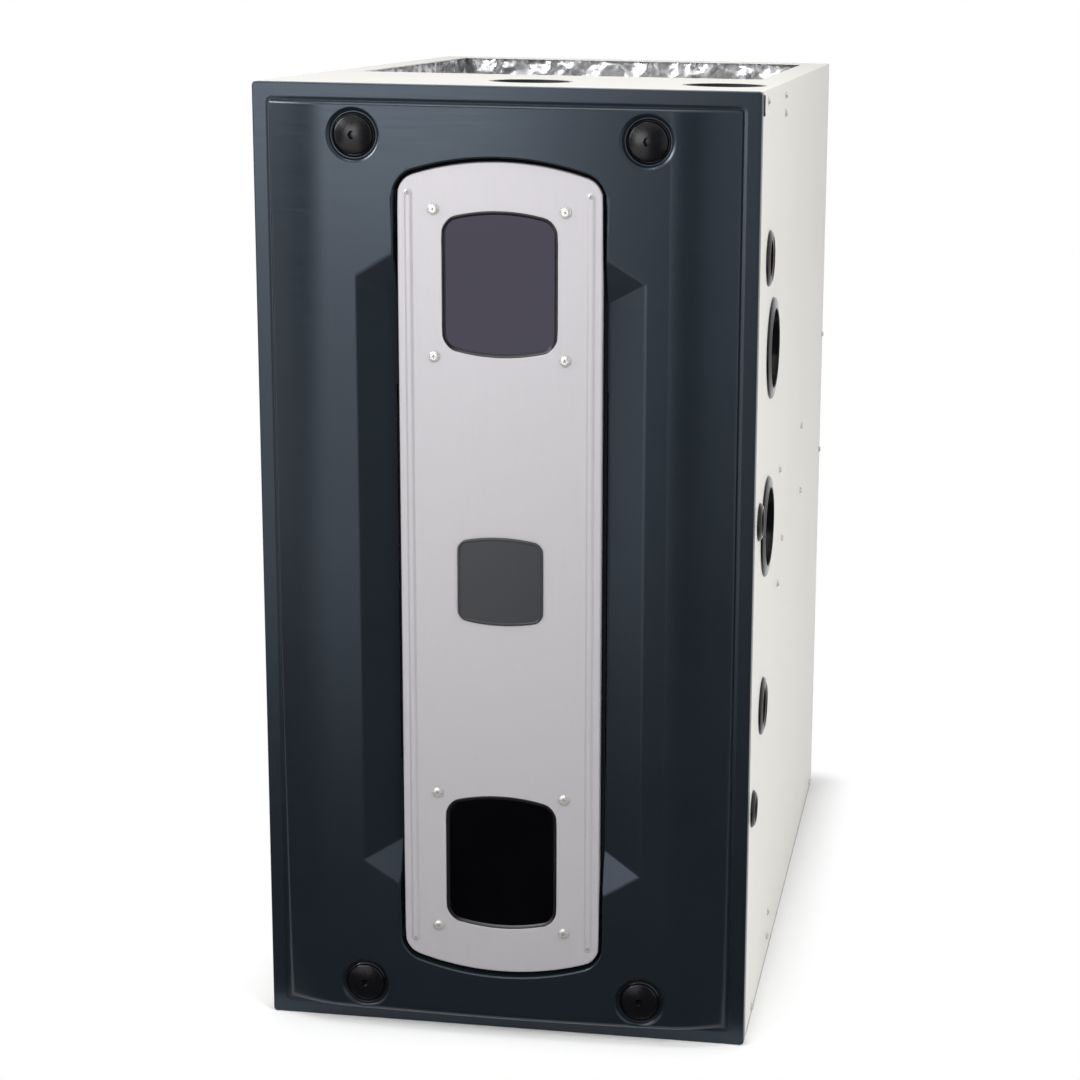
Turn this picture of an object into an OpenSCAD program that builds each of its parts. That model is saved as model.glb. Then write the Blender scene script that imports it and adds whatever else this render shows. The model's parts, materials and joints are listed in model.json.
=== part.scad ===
// Upflow forced air gas furnace: casing, lift-off door, burners, heat exchanger, draft inducer and blower.
// Origin: middle of the footprint, on the floor. +X is the viewer's right, -Y the door side, +Z up.

/* [Cabinet] */
// Width of the cabinet and of the door
cab_w = 444.5; // [440:0.5:520]
// Height of the cabinet and of the door
cab_h = 863.6; // [855:0.1:900]
// Depth from the flat rim of the door to the back
cab_d = 710; // [700:1:760]
// Thickness of the casing sheet
sheet_t = 1; // [0.8:0.1:1.2]
// Width of the casing's return flanges behind the door's long edges
front_flange = 22; // [18:1:26]
// Width of the flange round the supply air opening
duct_flange = 28; // [24:1:34]
// Depth of the burner compartment behind the door's rim
vest_d = 235; // [230:1:240]
// Height of the deck between the blower and the heat exchanger
deck_z = 400; // [396:1:404]
// Width of the base pan's floor round the return air opening
return_rim = 45; // [40:1:60]
// Height of the turned-up lip round the return air opening
return_lip = 12; // [8:1:14]
// Thickness of the foil-faced insulation blanket
blanket_t = 12; // [8:1:14]

/* [Door] */
// Depth of the door's turned-back edge
door_edge = 12; // [11:0.5:14]
// Wall thickness of the door skin
door_wall = 2.5; // [2:0.1:3]
// Width of the flat rim round the door
rim_w = 11.5; // [9:0.5:14]
// Width of the groove inside the rim
groove_w = 3.5; // [2.5:0.5:4.5]
// Depth of the groove inside the rim
groove_d = 1; // [0.5:0.1:1.2]
// How far the field stands proud of the rim at its edge
lip_rise = 3; // [2.8:0.1:4]
// How far the field stands proud where the side rolls end
roll_rise = 16.5; // [16:0.1:17]
// How far the field stands proud at the middle
crown_rise = 20; // [19.5:0.1:21]
// Width of the roll at each side of the field
roll_w = 60; // [50:1:65]
// Thickness of the steel liner at the back of the door
liner_t = 1; // [0.8:0.1:1.2]
// Thickness of the foam gasket
gasket_t = 4; // [3:0.5:4.5]
// Width of the foam gasket
gasket_w = 14; // [10:1:16]

/* [Front strip] */
// Width of the bright strip
strip_w = 180; // [176:1:182]
// Distance of the bright strip's ends from the door's top and bottom edges
strip_inset = 60.8; // [60:0.1:64]
// Radius of the strip's curved ends
strip_end_r = 205; // [180:1:260]
// Radius of the strip's corners
strip_corner_r = 14; // [10:1:18]
// How far the strip's face stands proud of the rim
strip_rise = 16; // [15.5:0.1:16.5]
// Depth of the strip's turned-back edge
strip_edge = 3; // [2.5:0.1:3]
// Thickness of the strip's sheet
strip_t = 1.2; // [0.8:0.1:1.5]
// Gap between the strip and the wall of its recess
strip_gap = 3.5; // [3:0.1:4]
// Distance of each long bead from the strip's edge
bead_inset = 10; // [9:0.5:14]
// Width of the long beads
bead_w = 5.5; // [4:0.5:6]
// Height of the long beads
bead_rise = 1; // [0.6:0.1:1.4]
// Distance of the beads' ends from the strip's ends
bead_end_gap = 26; // [23:1:50]
// Side length of the square badge plate
badge_w = 77; // [70:1:82]
// Height of the badge plate
badge_h = 80; // [74:1:86]

/* [Windows] */
// Width of each window
window_w = 102; // [96:1:104]
// Height of each window
window_h = 127; // [120:1:130]
// Radius of the windows' curved ends
window_end_r = 165; // [140:1:220]
// Radius of the windows' corners
window_corner_r = 12; // [9:1:14]
// Distance of each window's centre from the strip's end
window_inset = 107.5; // [105:0.5:112]
// Thickness of the panes
pane_t = 1.6; // [1.2:0.1:2]
// Width of the dark frame over each pane's edge
bezel_w = 3; // [2:0.5:5]
// Distance of the screws sideways from each window's centre
screw_dx = 58; // [57:0.5:60]
// Distance of the screws up and down from each window's centre
screw_dz = 64; // [60:0.5:68]
// Radius of the window screws' heads
screw_head_r = 5; // [4:0.1:5.5]
// Radius of the window screws' shanks
screw_r = 2; // [1.5:0.1:2.3]

/* [Handle pockets] */
// Distance of each pocket's outer edge from the middle
pocket_x = 127.4; // [120:0.1:132]
// Half the length of each pocket's outer edge
pocket_half = 268; // [250:1:280]
// How much longer each pocket is beside the strip than at its outer edge
pocket_slant = 18; // [10:1:25]
// Half the length of each pocket's floor line
pocket_floor_half = 247; // [230:1:249]
// How far each pocket's floor line stands proud of the rim
pocket_rise = 6; // [5.5:0.1:8]
// Half the length of the open finger slot in each pocket
slot_half = 172; // [150:1:190]
// Width of the finger slot
slot_w = 3; // [2:0.1:3.4]

/* [Latch knobs] */
// Distance of the knobs sideways from the middle
knob_x = 128; // [120:0.5:134]
// Distance of the knobs from the door's top and bottom edges
knob_inset = 42.8; // [40.8:0.5:45.8]
// Radius of each knob's disc
knob_r = 17; // [15:0.1:17.5]
// Thickness of each knob's disc
knob_t = 5.5; // [4.5:0.1:6]
// Radius of the dish round each knob
dish_r = 24; // [23:0.1:24.5]
// Depth of the dish
dish_d = 4; // [3.5:0.1:4.5]
// Radius of the latch stud
stud_r = 5; // [4.5:0.1:5.4]
// Length of the stud behind the casing's front face
stud_reach = 14; // [12:1:16]
// Gap between the studs and the edges of the rails that they pass
rail_gap = 1.8; // [1.5:0.1:3]
// Thickness of the spring clips that hold the studs
clip_t = 2; // [1.5:0.1:3]
// How far the clips lap over the backs of the rails
clip_lap = 7; // [6:0.5:10]
// Running clearance of studs and shafts
run_gap = 0.05; // [0.03:0.01:0.09]
// Clearance between pieces that move past each other
move_gap = 0.3; // [0.3:0.05:0.5]
// Clearance of a fixed piece in its hole
fit_gap = 0.2; // [0.1:0.05:0.3]

/* [Side entries] */
// Radius of the holes for the large vent plugs
vent_plug_r = 38; // [36:0.5:40]
// Width of the large plugs' flange beyond their hole
vent_plug_lap = 8.5; // [6:0.5:9]
// Radius of the gas pipe entries
gas_entry_r = 21; // [20:0.5:22]
// Radius of the drain entries
drain_entry_r = 22; // [21:0.5:23]
// Radius of the wiring bushings' holes
conduit_entry_r = 14; // [13:0.5:15]
// Radius of the bore of the wiring bushings
conduit_bore_r = 11.1; // [10.5:0.1:11.5]
// Width of the small grommets' flange beyond their hole
grommet_lap = 4; // [3:0.5:5]
// How far plugs and grommets stand proud of the side
grommet_rise = 4.5; // [3:0.5:5]
// Length of plugs and grommets inside the casing
grommet_in = 6; // [5:0.5:7]
// Depth of the gas pipe entry behind the rim, and how far it is below the top
gas_entry_d = 82; // [80:1:84]
gas_entry_drop = 149.6; // [148:0.5:152]
// Depth of the upper vent plug behind the rim, and how far it is below the top
upper_plug_d = 124; // [118:1:130]
upper_plug_drop = 236.6; // [230:0.5:243]
// Depth of the lower vent plug behind the rim, and how far it is above the deck
lower_plug_d = 107; // [100:1:114]
lower_plug_up = 63.5; // [60:0.5:70]
// Depth of the upper wiring bushing behind the rim, and how far it is above the deck
line_entry_d = 43; // [41:1:45]
line_entry_up = 82.5; // [80:0.5:85]
// Depth behind the rim and height of the drain entry
drain_entry_d = 99; // [97:1:101]
drain_entry_z = 293.5; // [291:0.5:296]
// Depth behind the rim and height of the lower wiring bushing
thermostat_entry_d = 36; // [34:1:38]
thermostat_entry_z = 215.5; // [205:0.5:220]

/* [Vent and air intake] */
// Radius of the two holes in the top plate
top_hole_r = 38; // [37:0.5:39]
// Depth of their centres behind the rim
top_hole_d = 115; // [113:1:117]
// Distance of the vent from the inside of the casing's side
vent_side = 45.25; // [43.5:0.25:47.5]
// Outer radius of the vent pipe
vent_pipe_r = 30.15; // [29.5:0.05:30.5]
// Wall thickness of the vent pipe
vent_wall = 3; // [2:0.5:4]
// Bend radius of the vent elbow
vent_bend = 35; // [34:1:38]
// Length of the sockets under the top plate
socket_l = 32; // [30:1:33]
// Wall thickness of the sockets
socket_wall = 4; // [3:0.5:5]

/* [Burners] */
// Distance from the burner box to the inside of each of the casing's sides
burner_side = 83.25; // [81:0.25:85]
// Distance from the outer burners to the ends of the burner box
burner_end = 33; // [30:1:36]
// Distance of the burners below the top
burner_drop = 88.6; // [86.5:0.1:89.5]
// Outer radius of a heat exchanger tube
tube_r = 22; // [18:0.5:24]
// Wall thickness of a heat exchanger tube
tube_wall = 1.5; // [1:0.1:2]
// Gap between the tubes' lowest pass and the coil
pass_gap = 36; // [30:1:44]
// Height of the burner box
burner_box_h = 100; // [96:1:102]
// Depth of the burner box
burner_box_d = 144; // [140:1:146]
// Outer radius of the manifold pipe
manifold_r = 13; // [11:0.5:14]
// Width of the gas valve
valve_w = 66; // [60:1:68]
// Height of the gas valve
valve_h = 98; // [94:1:100]
// Radius of the gas valve's inlet
gas_bore_r = 9.2; // [8:0.1:10.5]

/* [Inducer] */
// Distance of the inducer from the middle
inducer_x = 40; // [36:1:44]
// Height of the inducer's axis above the deck
inducer_up = 107; // [103:1:111]
// Radius of the inducer wheel
inducer_wheel_r = 54; // [50:1:56]
// Width of the inducer wheel
inducer_wheel_w = 26; // [20:1:30]
// Number of blades on the inducer wheel
inducer_blades = 16; // [10:1:20]
// Radius of the inducer motor
inducer_motor_r = 38; // [34:1:42]
// Radius of the inducer's shaft
inducer_shaft_r = 4; // [3:0.5:5]

/* [Blower] */
// Radius of the blower wheel
wheel_r = 127; // [120:1:128]
// Width of the blower wheel
wheel_w = 203; // [190:1:206]
// Number of blades on the blower wheel
wheel_blades = 36; // [24:1:42]
// Radial depth of the blades
blade_d = 24; // [18:1:26]
// Width of the blower housing
housing_w = 240; // [236:1:250]
// Height of the blower's axis
blower_z = 200; // [197:1:203]
// Distance of the blower's axis behind the middle
blower_y = 60; // [50:1:70]
// Radius of the blower's inlets
inlet_r = 107; // [100:1:110]
// Radius of the blower motor
motor_r = 70; // [64:1:72]
// Length of the blower motor
motor_l = 112; // [108:1:118]
// Radius of the blower's shaft
shaft_r = 6.35; // [6:0.05:7]

/* [Hidden] */
$fn = 48;
half_w = cab_w/2;
mid_z = cab_h/2;
strip_h = cab_h - 2*strip_inset;
bead_l = strip_h - 2*bead_end_gap;
window_off = strip_h/2 - window_inset;
rim_y = -(cab_d - crown_rise)/2;
back_y = rim_y + cab_d;
seat_y = rim_y + door_edge + move_gap;
inner_x = half_w - sheet_t;
inner_y = back_y - sheet_t;
top_in = cab_h - sheet_t;
deck_top = deck_z + sheet_t;
vest_y = rim_y + vest_d;
// Overlap that joins solids of one piece, and that carries a cut past a face
bite = 0.5;
cut = 2;

field_half = half_w - rim_w - groove_w;
field_lo = rim_w + groove_w;
field_hi = cab_h - field_lo;
roll_n = 10;
crown_n = 20;
recess_half = strip_w/2 + strip_gap;
recess_floor_y = rim_y - strip_rise + strip_edge;
strip_face_y = rim_y - strip_rise;
recess_floor_t = 2;
liner_y = rim_y + door_edge - gasket_t - liner_t;
window_zs = [mid_z - window_off, mid_z + window_off];
sight_trim = 9;

slot_x = strip_w/2 + 1;
pocket_front_y = rim_y - crown_rise - 6;
knob_zs = [knob_inset, cab_h - knob_inset];
knob_face_y = rim_y - rise(knob_x);
dish_y = knob_face_y + dish_d;
dish_slope = 4;
stud_end_y = seat_y + stud_reach;
latch_rail_h = knob_inset - stud_r - rail_gap;

top_hole_y = rim_y + top_hole_d;
socket_top_z = top_in;
vent_x = inner_x - vent_side;
gas_entry_z = cab_h - gas_entry_drop;
upper_plug_z = cab_h - upper_plug_drop;
lower_plug_z = deck_z + lower_plug_up;
line_entry_z = deck_z + line_entry_up;
burner_z = cab_h - burner_drop;
burner_n = 4;
burner_box_half = inner_x - burner_side;
burner_pitch = 2*(burner_box_half - burner_end)/(burner_n - 1);
coil_z = [deck_top + 30, deck_top + 140];
tube_drop = (burner_z - tube_r - pass_gap - coil_z[1])/2;
burner_xs = [for (i = [0:burner_n - 1]) (i - (burner_n - 1)/2)*burner_pitch];
burner_box_z = [burner_z - burner_box_h/2, burner_z + burner_box_h/2];
burner_box_front_y = vest_y - burner_box_d;
burner_box_t = 1;
manifold_y = burner_box_front_y - manifold_r - 7;
valve_x1 = -burner_box_half - 5;
valve_x0 = valve_x1 - valve_w;
valve_x = (valve_x0 + valve_x1)/2;
gas_entry_y = rim_y + gas_entry_d;
valve_y0 = gas_entry_y - 36;
valve_y1 = gas_entry_y + 30;
valve_z1 = gas_entry_z + 34;
valve_z0 = valve_z1 - valve_h;

tube_front_y = vest_y + 12 + tube_drop/2 + tube_r;
tube_back_y = inner_y - blanket_t - 46 - tube_drop/2 - tube_r;
tube_zs = [burner_z, burner_z - tube_drop, burner_z - 2*tube_drop];
header_y0 = tube_back_y + 30;
header_d = 50;
coil_half = 150;
collector_half = 130;
collector_y = top_hole_y + 35;

inducer_z = deck_top + inducer_up;
inducer_y0 = top_hole_y - 33;
inducer_y1 = collector_y;
inducer_out_z = inducer_z + 46;
scroll_r = inducer_wheel_r + 14;

blower_side = housing_w/2;
scroll_min = wheel_r + 12;
scroll_grow = 45;
scroll_max = scroll_min + scroll_grow;
blower_t = 1;
wheel_hub_half = 20;
wheel_hub_r = 16;
discharge_y = 24;
motor_x1 = -wheel_hub_half - 6;
motor_x0 = motor_x1 - motor_l;

panel_y = rim_y + 76;
panel_half = 148;
panel_z0 = 96;
board_w = 150;
board_h = 140;
board_z = mid_z - window_off - board_h/2 + 10;
board_x = -40;
switch_x = 110;

// A box from its lowest corner to its highest
module block(a, b) {
    translate(a) cube(b - a);
}

// A flat shape drawn in X and Z, carried from y0 to y1
module along_y(y0, y1) {
    translate([0, y1, 0]) rotate([90, 0, 0]) linear_extrude(y1 - y0) children();
}

// A flat shape drawn in Y and Z, carried from x0 to x1
module along_x(x0, x1) {
    translate([x0, 0, 0]) rotate([90, 0, 90]) linear_extrude(x1 - x0) children();
}

module rod_x(y, z, r, x0, x1) {
    translate([x0, y, z]) rotate([0, 90, 0]) cylinder(r = r, h = x1 - x0);
}

module rod_y(x, z, r, y0, y1) {
    translate([x, y1, z]) rotate([90, 0, 0]) cylinder(r = r, h = y1 - y0);
}

module rod_z(x, y, r, z0, z1) {
    translate([x, y, z0]) cylinder(r = r, h = z1 - z0);
}

// The same shape on the right and on the left
module both_sides() {
    children();
    mirror([1, 0, 0]) children();
}

function arc(cx, cy, r, a0, a1, n) = [for (i = [0:n]) let (a = a0 + (a1 - a0)*i/n) [cx + r*cos(a), cy + r*sin(a)]];

// Upper half of a barrel outline: straight sides, rounded corners and a crowned end
function barrel_top(w, h, end_r, corner_r) =
    let (end_y = h/2 - end_r,
        dx = w/2 - corner_r,
        dy = sqrt(pow(end_r - corner_r, 2) - dx*dx),
        a = atan2(dy, dx),
        crown = arc(0, end_y, end_r, a, 180 - a, 12))
    concat(arc(dx, end_y + dy, corner_r, 0, a, 6),
        [for (i = [1:11]) crown[i]],
        arc(-dx, end_y + dy, corner_r, 180 - a, 180, 6));

module barrel(w, h, end_r, corner_r) {
    top = barrel_top(w, h, end_r, corner_r);
    polygon(concat(top, [for (p = top) -p]));
}

// How far the door's field stands proud of the rim at a distance x from the middle
function rise(x) =
    let (u = abs(x), flat = field_half - roll_w)
    u > flat ? lip_rise + (roll_rise - lip_rise)*sin(90*(field_half - u)/roll_w)
        : roll_rise + (crown_rise - roll_rise)*cos(90*u/flat);

// Places across the door where the field's section is drawn, closer together in the rolls
function field_xs(half) =
    let (flat = field_half - roll_w)
    concat([for (i = [0:roll_n - 1]) -half + (half - flat)*i/roll_n],
        [for (i = [0:crown_n]) -flat + 2*flat*i/crown_n],
        [for (i = [1:roll_n]) flat + (half - flat)*i/roll_n]);

// Section of the field, set back from its surface by a wall
module field_section(wall, half) {
    xs = field_xs(half);
    polygon(concat([for (x = xs) [x, rim_y - rise(x) + wall]],
        [[half, rim_y + door_wall + bite], [-half, rim_y + door_wall + bite]]));
}

module recess(grow, floor_y) {
    along_y(pocket_front_y, floor_y) translate([0, mid_z])
        barrel(2*(recess_half + grow), strip_h + 2*(strip_gap + grow), strip_end_r + strip_gap + grow,
            strip_corner_r + strip_gap + grow);
}

// One handle pocket: its bevelled faces run out past the field's surface
module pocket(grow) {
    floor_y = rim_y - pocket_rise + grow;
    surface_y = rim_y - rise(pocket_x);
    run = (floor_y - pocket_front_y)/(floor_y - surface_y);
    x0 = slot_x - grow;
    x1 = x0 + (pocket_x + grow - x0)*run;
    z0 = pocket_floor_half + grow;
    z_out = z0 + (pocket_half + grow - z0)*run;
    z_in = z0 + (pocket_half + pocket_slant + grow - z0)*run;
    translate([0, 0, mid_z])
        polyhedron(points = [[x0, floor_y, -z0], [x0, floor_y, z0],
                [x0, pocket_front_y, z_in], [x1, pocket_front_y, z_out],
                [x1, pocket_front_y, -z_out], [x0, pocket_front_y, -z_in]],
            faces = [[0, 1, 2, 5], [0, 4, 3, 1], [1, 3, 2], [0, 5, 4], [2, 3, 4, 5]]);
}

module dish(grow) {
    for (z = knob_zs) {
        both_sides() translate([knob_x, dish_y + grow, z]) rotate([90, 0, 0])
            cylinder(r1 = dish_r - dish_slope + grow, r2 = dish_r + dish_slope/2 + grow,
                h = 1.5*dish_d + grow);
    }
}

module at_knobs() {
    for (z = knob_zs) {
        both_sides() translate([knob_x, 0, z]) children();
    }
}

module at_window_screws() {
    for (z = window_zs, dx = [-screw_dx, screw_dx], dz = [-screw_dz, screw_dz]) {
        translate([dx, 0, z + dz]) children();
    }
}

module sight_openings(y0, y1) {
    along_y(y0, y1) for (z = window_zs) {
        translate([0, z]) barrel(window_w - 2*sight_trim, window_h - 2*sight_trim, window_end_r,
            window_corner_r);
    }
}

module door_panel() {
    color("#39424a") difference() {
        union() {
            block([-half_w, rim_y, 0], [half_w, rim_y + door_edge, cab_h]);
            translate([0, 0, field_lo]) linear_extrude(field_hi - field_lo) field_section(0, field_half);
        }
        door_cavity();
        difference() {
            block([-half_w + rim_w, rim_y - cut, rim_w], [half_w - rim_w, rim_y + groove_d, cab_h - rim_w]);
            block([-field_half, rim_y - 2*cut, field_lo], [field_half, rim_y + 2*cut, field_hi]);
        }
        recess(0, recess_floor_y);
        both_sides() pocket(0);
        both_sides() block([slot_x, rim_y - crown_rise, mid_z - slot_half],
            [slot_x + slot_w, rim_y + door_wall + cut, mid_z + slot_half]);
        dish(0);
        at_knobs() rod_y(0, 0, stud_r + run_gap, rim_y - crown_rise, rim_y + door_edge);
        sight_openings(rim_y - crown_rise, rim_y + door_edge);
        at_window_screws() rod_y(0, 0, screw_r + fit_gap, rim_y - crown_rise, rim_y + door_edge);
    }
}

// The hollow behind the door's skin, which leaves walls round the recess, pockets and dishes
module door_cavity() {
    inner_half = field_half - door_wall;
    difference() {
        union() {
            block([-half_w + door_wall, rim_y + door_wall, door_wall],
                [half_w - door_wall, rim_y + door_edge + cut, cab_h - door_wall]);
            translate([0, 0, field_lo + door_wall]) linear_extrude(field_hi - field_lo - 2*door_wall)
                field_section(door_wall, inner_half);
        }
        recess(door_wall, recess_floor_y + recess_floor_t);
        both_sides() pocket(door_wall);
        dish(door_wall);
        at_knobs() rod_y(0, 0, 2*stud_r, dish_y, liner_y);
    }
}

module door_liner() {
    edge = door_wall + fit_gap;
    color("#b9bcbd") difference() {
        block([-half_w + edge, liner_y, edge], [half_w - edge, liner_y + liner_t, cab_h - edge]);
        at_knobs() rod_y(0, 0, stud_r + 1, liner_y - cut, liner_y + liner_t + cut);
        sight_openings(liner_y - cut, liner_y + liner_t + cut);
    }
}

module door_gasket() {
    edge = door_wall + fit_gap;
    y0 = liner_y + liner_t;
    color("#2a2a2c") difference() {
        block([-half_w + edge, y0, edge], [half_w - edge, y0 + gasket_t, cab_h - edge]);
        block([-half_w + edge + gasket_w, y0 - cut, edge + gasket_w],
            [half_w - edge - gasket_w, y0 + gasket_t + cut, cab_h - edge - gasket_w]);
    }
}

module strip_outline(inset) {
    translate([0, mid_z]) barrel(strip_w - 2*inset, strip_h - 2*inset, strip_end_r - inset,
        strip_corner_r - inset);
}

module front_strip() {
    color("#cfcdd0") difference() {
        union() {
            along_y(strip_face_y, recess_floor_y) strip_outline(0);
            both_sides() strip_bead();
        }
        along_y(strip_face_y + strip_t, recess_floor_y + cut) strip_outline(strip_t);
        along_y(strip_face_y - cut, recess_floor_y) for (z = window_zs) {
            translate([0, z]) barrel(window_w, window_h, window_end_r, window_corner_r);
        }
        at_window_screws() rod_y(0, 0, screw_r + fit_gap, strip_face_y - cut, recess_floor_y);
    }
}

// A long low bead with round ends
module strip_bead() {
    x = strip_w/2 - bead_inset;
    end = bead_l/2 - bead_w/2;
    along_y(strip_face_y - bead_rise, strip_face_y + strip_t/2) translate([x, mid_z]) {
        square([bead_w, 2*end], center = true);
        for (s = [-1, 1]) {
            translate([0, s*end]) circle(d = bead_w);
        }
    }
}

module window_pane(z) {
    color("#2a2930", 0.6) along_y(recess_floor_y - pane_t, recess_floor_y) translate([0, z])
        barrel(window_w - 2*fit_gap, window_h - 2*fit_gap, window_end_r, window_corner_r);
}

module upper_window() {
    window_pane(window_zs[1]);
}

module lower_window() {
    window_pane(window_zs[0]);
}

module window_bezels() {
    y1 = recess_floor_y - pane_t;
    color("#232127") along_y(strip_face_y - 0.3, y1) for (z = window_zs) {
        translate([0, z]) difference() {
            barrel(window_w - 2*fit_gap, window_h - 2*fit_gap, window_end_r, window_corner_r);
            barrel(window_w - 2*bezel_w, window_h - 2*bezel_w, window_end_r, window_corner_r - bezel_w/2);
        }
    }
}

module window_screws() {
    head_t = 2.4;
    color("#b8b6b0") at_window_screws() difference() {
        union() {
            rod_y(0, 0, screw_head_r, strip_face_y - head_t, strip_face_y);
            rod_y(0, 0, screw_r, strip_face_y - bite, recess_floor_y + recess_floor_t + 2);
        }
        for (a = [0, 90]) {
            rotate([0, a, 0]) block([-0.6, strip_face_y - head_t - cut, -2.8],
                [0.6, strip_face_y - head_t + 1.2, 2.8]);
        }
    }
}

module badge_plate() {
    edge = 2.2;
    color("#36373c") difference() {
        along_y(strip_face_y - 2.2, strip_face_y) translate([0, mid_z])
            barrel(badge_w, badge_h, window_end_r, 8);
        along_y(strip_face_y - 2.2 - cut, strip_face_y - 1.4) translate([0, mid_z])
            barrel(badge_w - 2*edge, badge_h - 2*edge, window_end_r, 8 - edge);
    }
}

module latch_rings() {
    color("#1c1c1f") at_knobs() difference() {
        rod_y(0, 0, knob_r + 2.4, dish_y - 1.6, dish_y);
        rod_y(0, 0, knob_r + 2*move_gap, dish_y - 1.6 - cut, dish_y + cut);
    }
}

// A quarter-turn knob: disc with a hexagon socket and a pointer, on a slotted stud
module latch_knob(x, z) {
    y1 = dish_y - move_gap;
    y0 = y1 - knob_t;
    color("#2c2b31") translate([x, 0, z]) difference() {
        union() {
            rod_y(0, 0, knob_r, y0 + 1, y1);
            rod_y(0, 0, knob_r - 1.2, y0, y0 + 2);
            rod_y(0, 0, stud_r, y1 - bite, stud_end_y);
        }
        translate([0, y0 + 3.5, 0]) rotate([90, 0, 0]) cylinder(d = 8, h = 5, $fn = 6);
        block([-0.9, y0 - 1, knob_r - 6], [0.9, y0 + 0.6, knob_r - 2]);
        block([-stud_r - 1, stud_end_y - 6, -1], [stud_r + 1, stud_end_y + 1, 1]);
    }
}

module latch_knob_top_left() {
    latch_knob(-knob_x, knob_zs[1]);
}

module latch_knob_top_right() {
    latch_knob(knob_x, knob_zs[1]);
}

module latch_knob_bottom_left() {
    latch_knob(-knob_x, knob_zs[0]);
}

module latch_knob_bottom_right() {
    latch_knob(knob_x, knob_zs[0]);
}

clip_x = stud_r + 4*move_gap;

// Two cheeks beside each stud, fixed to the back of the top or the bottom rail
module latch_receivers() {
    y0 = seat_y + sheet_t;
    free_end = stud_r + 3;
    rail_end = stud_r + rail_gap + clip_lap;
    color("#9a9a98") both_sides() for (i = [0, 1], x = [knob_x - clip_x - clip_t, knob_x + clip_x]) {
        translate([x, y0, knob_zs[i] - (i == 0 ? rail_end : free_end)])
            cube([clip_t, stud_reach, free_end + rail_end]);
    }
}

// Entries in each side: [depth behind the rim, height, hole radius]
function entry(d, z, r) = [rim_y + d, z, r];
entries = [entry(gas_entry_d, gas_entry_z, gas_entry_r),
    entry(upper_plug_d, upper_plug_z, vent_plug_r),
    entry(lower_plug_d, lower_plug_z, vent_plug_r),
    entry(line_entry_d, line_entry_z, conduit_entry_r),
    entry(drain_entry_d, drain_entry_z, drain_entry_r),
    entry(thermostat_entry_d, thermostat_entry_z, conduit_entry_r)];

// Two side sheets and a back sheet that is seamed in between them
module cabinet_wrapper() {
    seam_x = inner_x - fit_gap;
    color("#e2e1db") {
        difference() {
            both_sides() union() {
                block([inner_x, seat_y, 0], [half_w, back_y, cab_h]);
                block([half_w - front_flange, seat_y, 0], [inner_x + bite, seat_y + sheet_t, cab_h]);
                block([half_w - duct_flange, supply_y, top_in],
                    [inner_x + bite, back_y - duct_flange - fit_gap, cab_h]);
            }
            for (e = entries) {
                both_sides() rod_x(e[0], e[1], e[2] + fit_gap, inner_x - cut, half_w + cut);
            }
        }
        block([-seam_x, inner_y, 0], [seam_x, back_y, cab_h]);
        block([-seam_x, back_y - duct_flange, top_in], [seam_x, inner_y + bite, cab_h]);
    }
}

supply_y = vest_y + 12;

module top_plate() {
    color("#dddcd6") difference() {
        union() {
            block([-inner_x, seat_y + sheet_t, top_in], [inner_x, supply_y, cab_h]);
            block([-half_w + front_flange, seat_y, cab_h - latch_rail_h],
                [half_w - front_flange, seat_y + sheet_t, cab_h]);
        }
        for (x = [0, vent_x]) {
            rod_z(x, top_hole_y, top_hole_r, top_in - cut, cab_h + cut);
        }
    }
}

return_x = inner_x - return_rim;
return_y0 = seat_y + return_rim + 20;
return_y1 = inner_y - return_rim;

module base_pan() {
    color("#d6d5cf") difference() {
        union() {
            block([-inner_x, seat_y + sheet_t, 0], [inner_x, inner_y, sheet_t]);
            block([-half_w + front_flange, seat_y, 0],
                [half_w - front_flange, seat_y + sheet_t, latch_rail_h]);
            block([-return_x - sheet_t, return_y0 - sheet_t, 0],
                [return_x + sheet_t, return_y1 + sheet_t, return_lip]);
        }
        block([-return_x, return_y0, -cut], [return_x, return_y1, return_lip + cut]);
    }
}

rail_drop = 24;

module blower_deck() {
    color("#c9cac8") difference() {
        union() {
            block([-inner_x, seat_y + sheet_t, deck_z], [inner_x, inner_y, deck_top]);
            block([-half_w + front_flange, seat_y, deck_z - rail_drop],
                [half_w - front_flange, seat_y + sheet_t, deck_top]);
        }
        block([-blower_side + blower_t, blower_y + discharge_y, deck_z - cut],
            [blower_side - blower_t, blower_y + scroll_max - blower_t, deck_top + cut]);
        block([switch_x - 8 - move_gap, seat_y - cut, deck_z - 19 - move_gap],
            [switch_x + 8 + move_gap, seat_y + sheet_t + cut, deck_z - 5 + move_gap]);
        rod_z(drain_x, drain_y, drain_r + fit_gap, deck_z - cut, deck_top + cut);
    }
}

module vestibule_panel() {
    color("#c4c5c4") difference() {
        block([-inner_x, vest_y, deck_top], [inner_x, vest_y + sheet_t, top_in]);
        for (x = burner_xs) {
            rod_y(x, burner_z, tube_r + fit_gap, vest_y - cut, vest_y + sheet_t + cut);
        }
        block([-coil_half + 20, vest_y - cut, coil_z[0] + 8],
            [coil_half - 20, vest_y + sheet_t + cut, coil_z[1] - 8]);
    }
}

// The blanket lines both sides and the back of the heat exchanger space
module foil_insulation() {
    color("#b7b8ba") difference() {
        block([-inner_x, vest_y + sheet_t, deck_top], [inner_x, inner_y, top_in]);
        block([-inner_x + blanket_t, vest_y, deck_top - cut],
            [inner_x - blanket_t, inner_y - blanket_t, top_in + cut]);
    }
}

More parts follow.
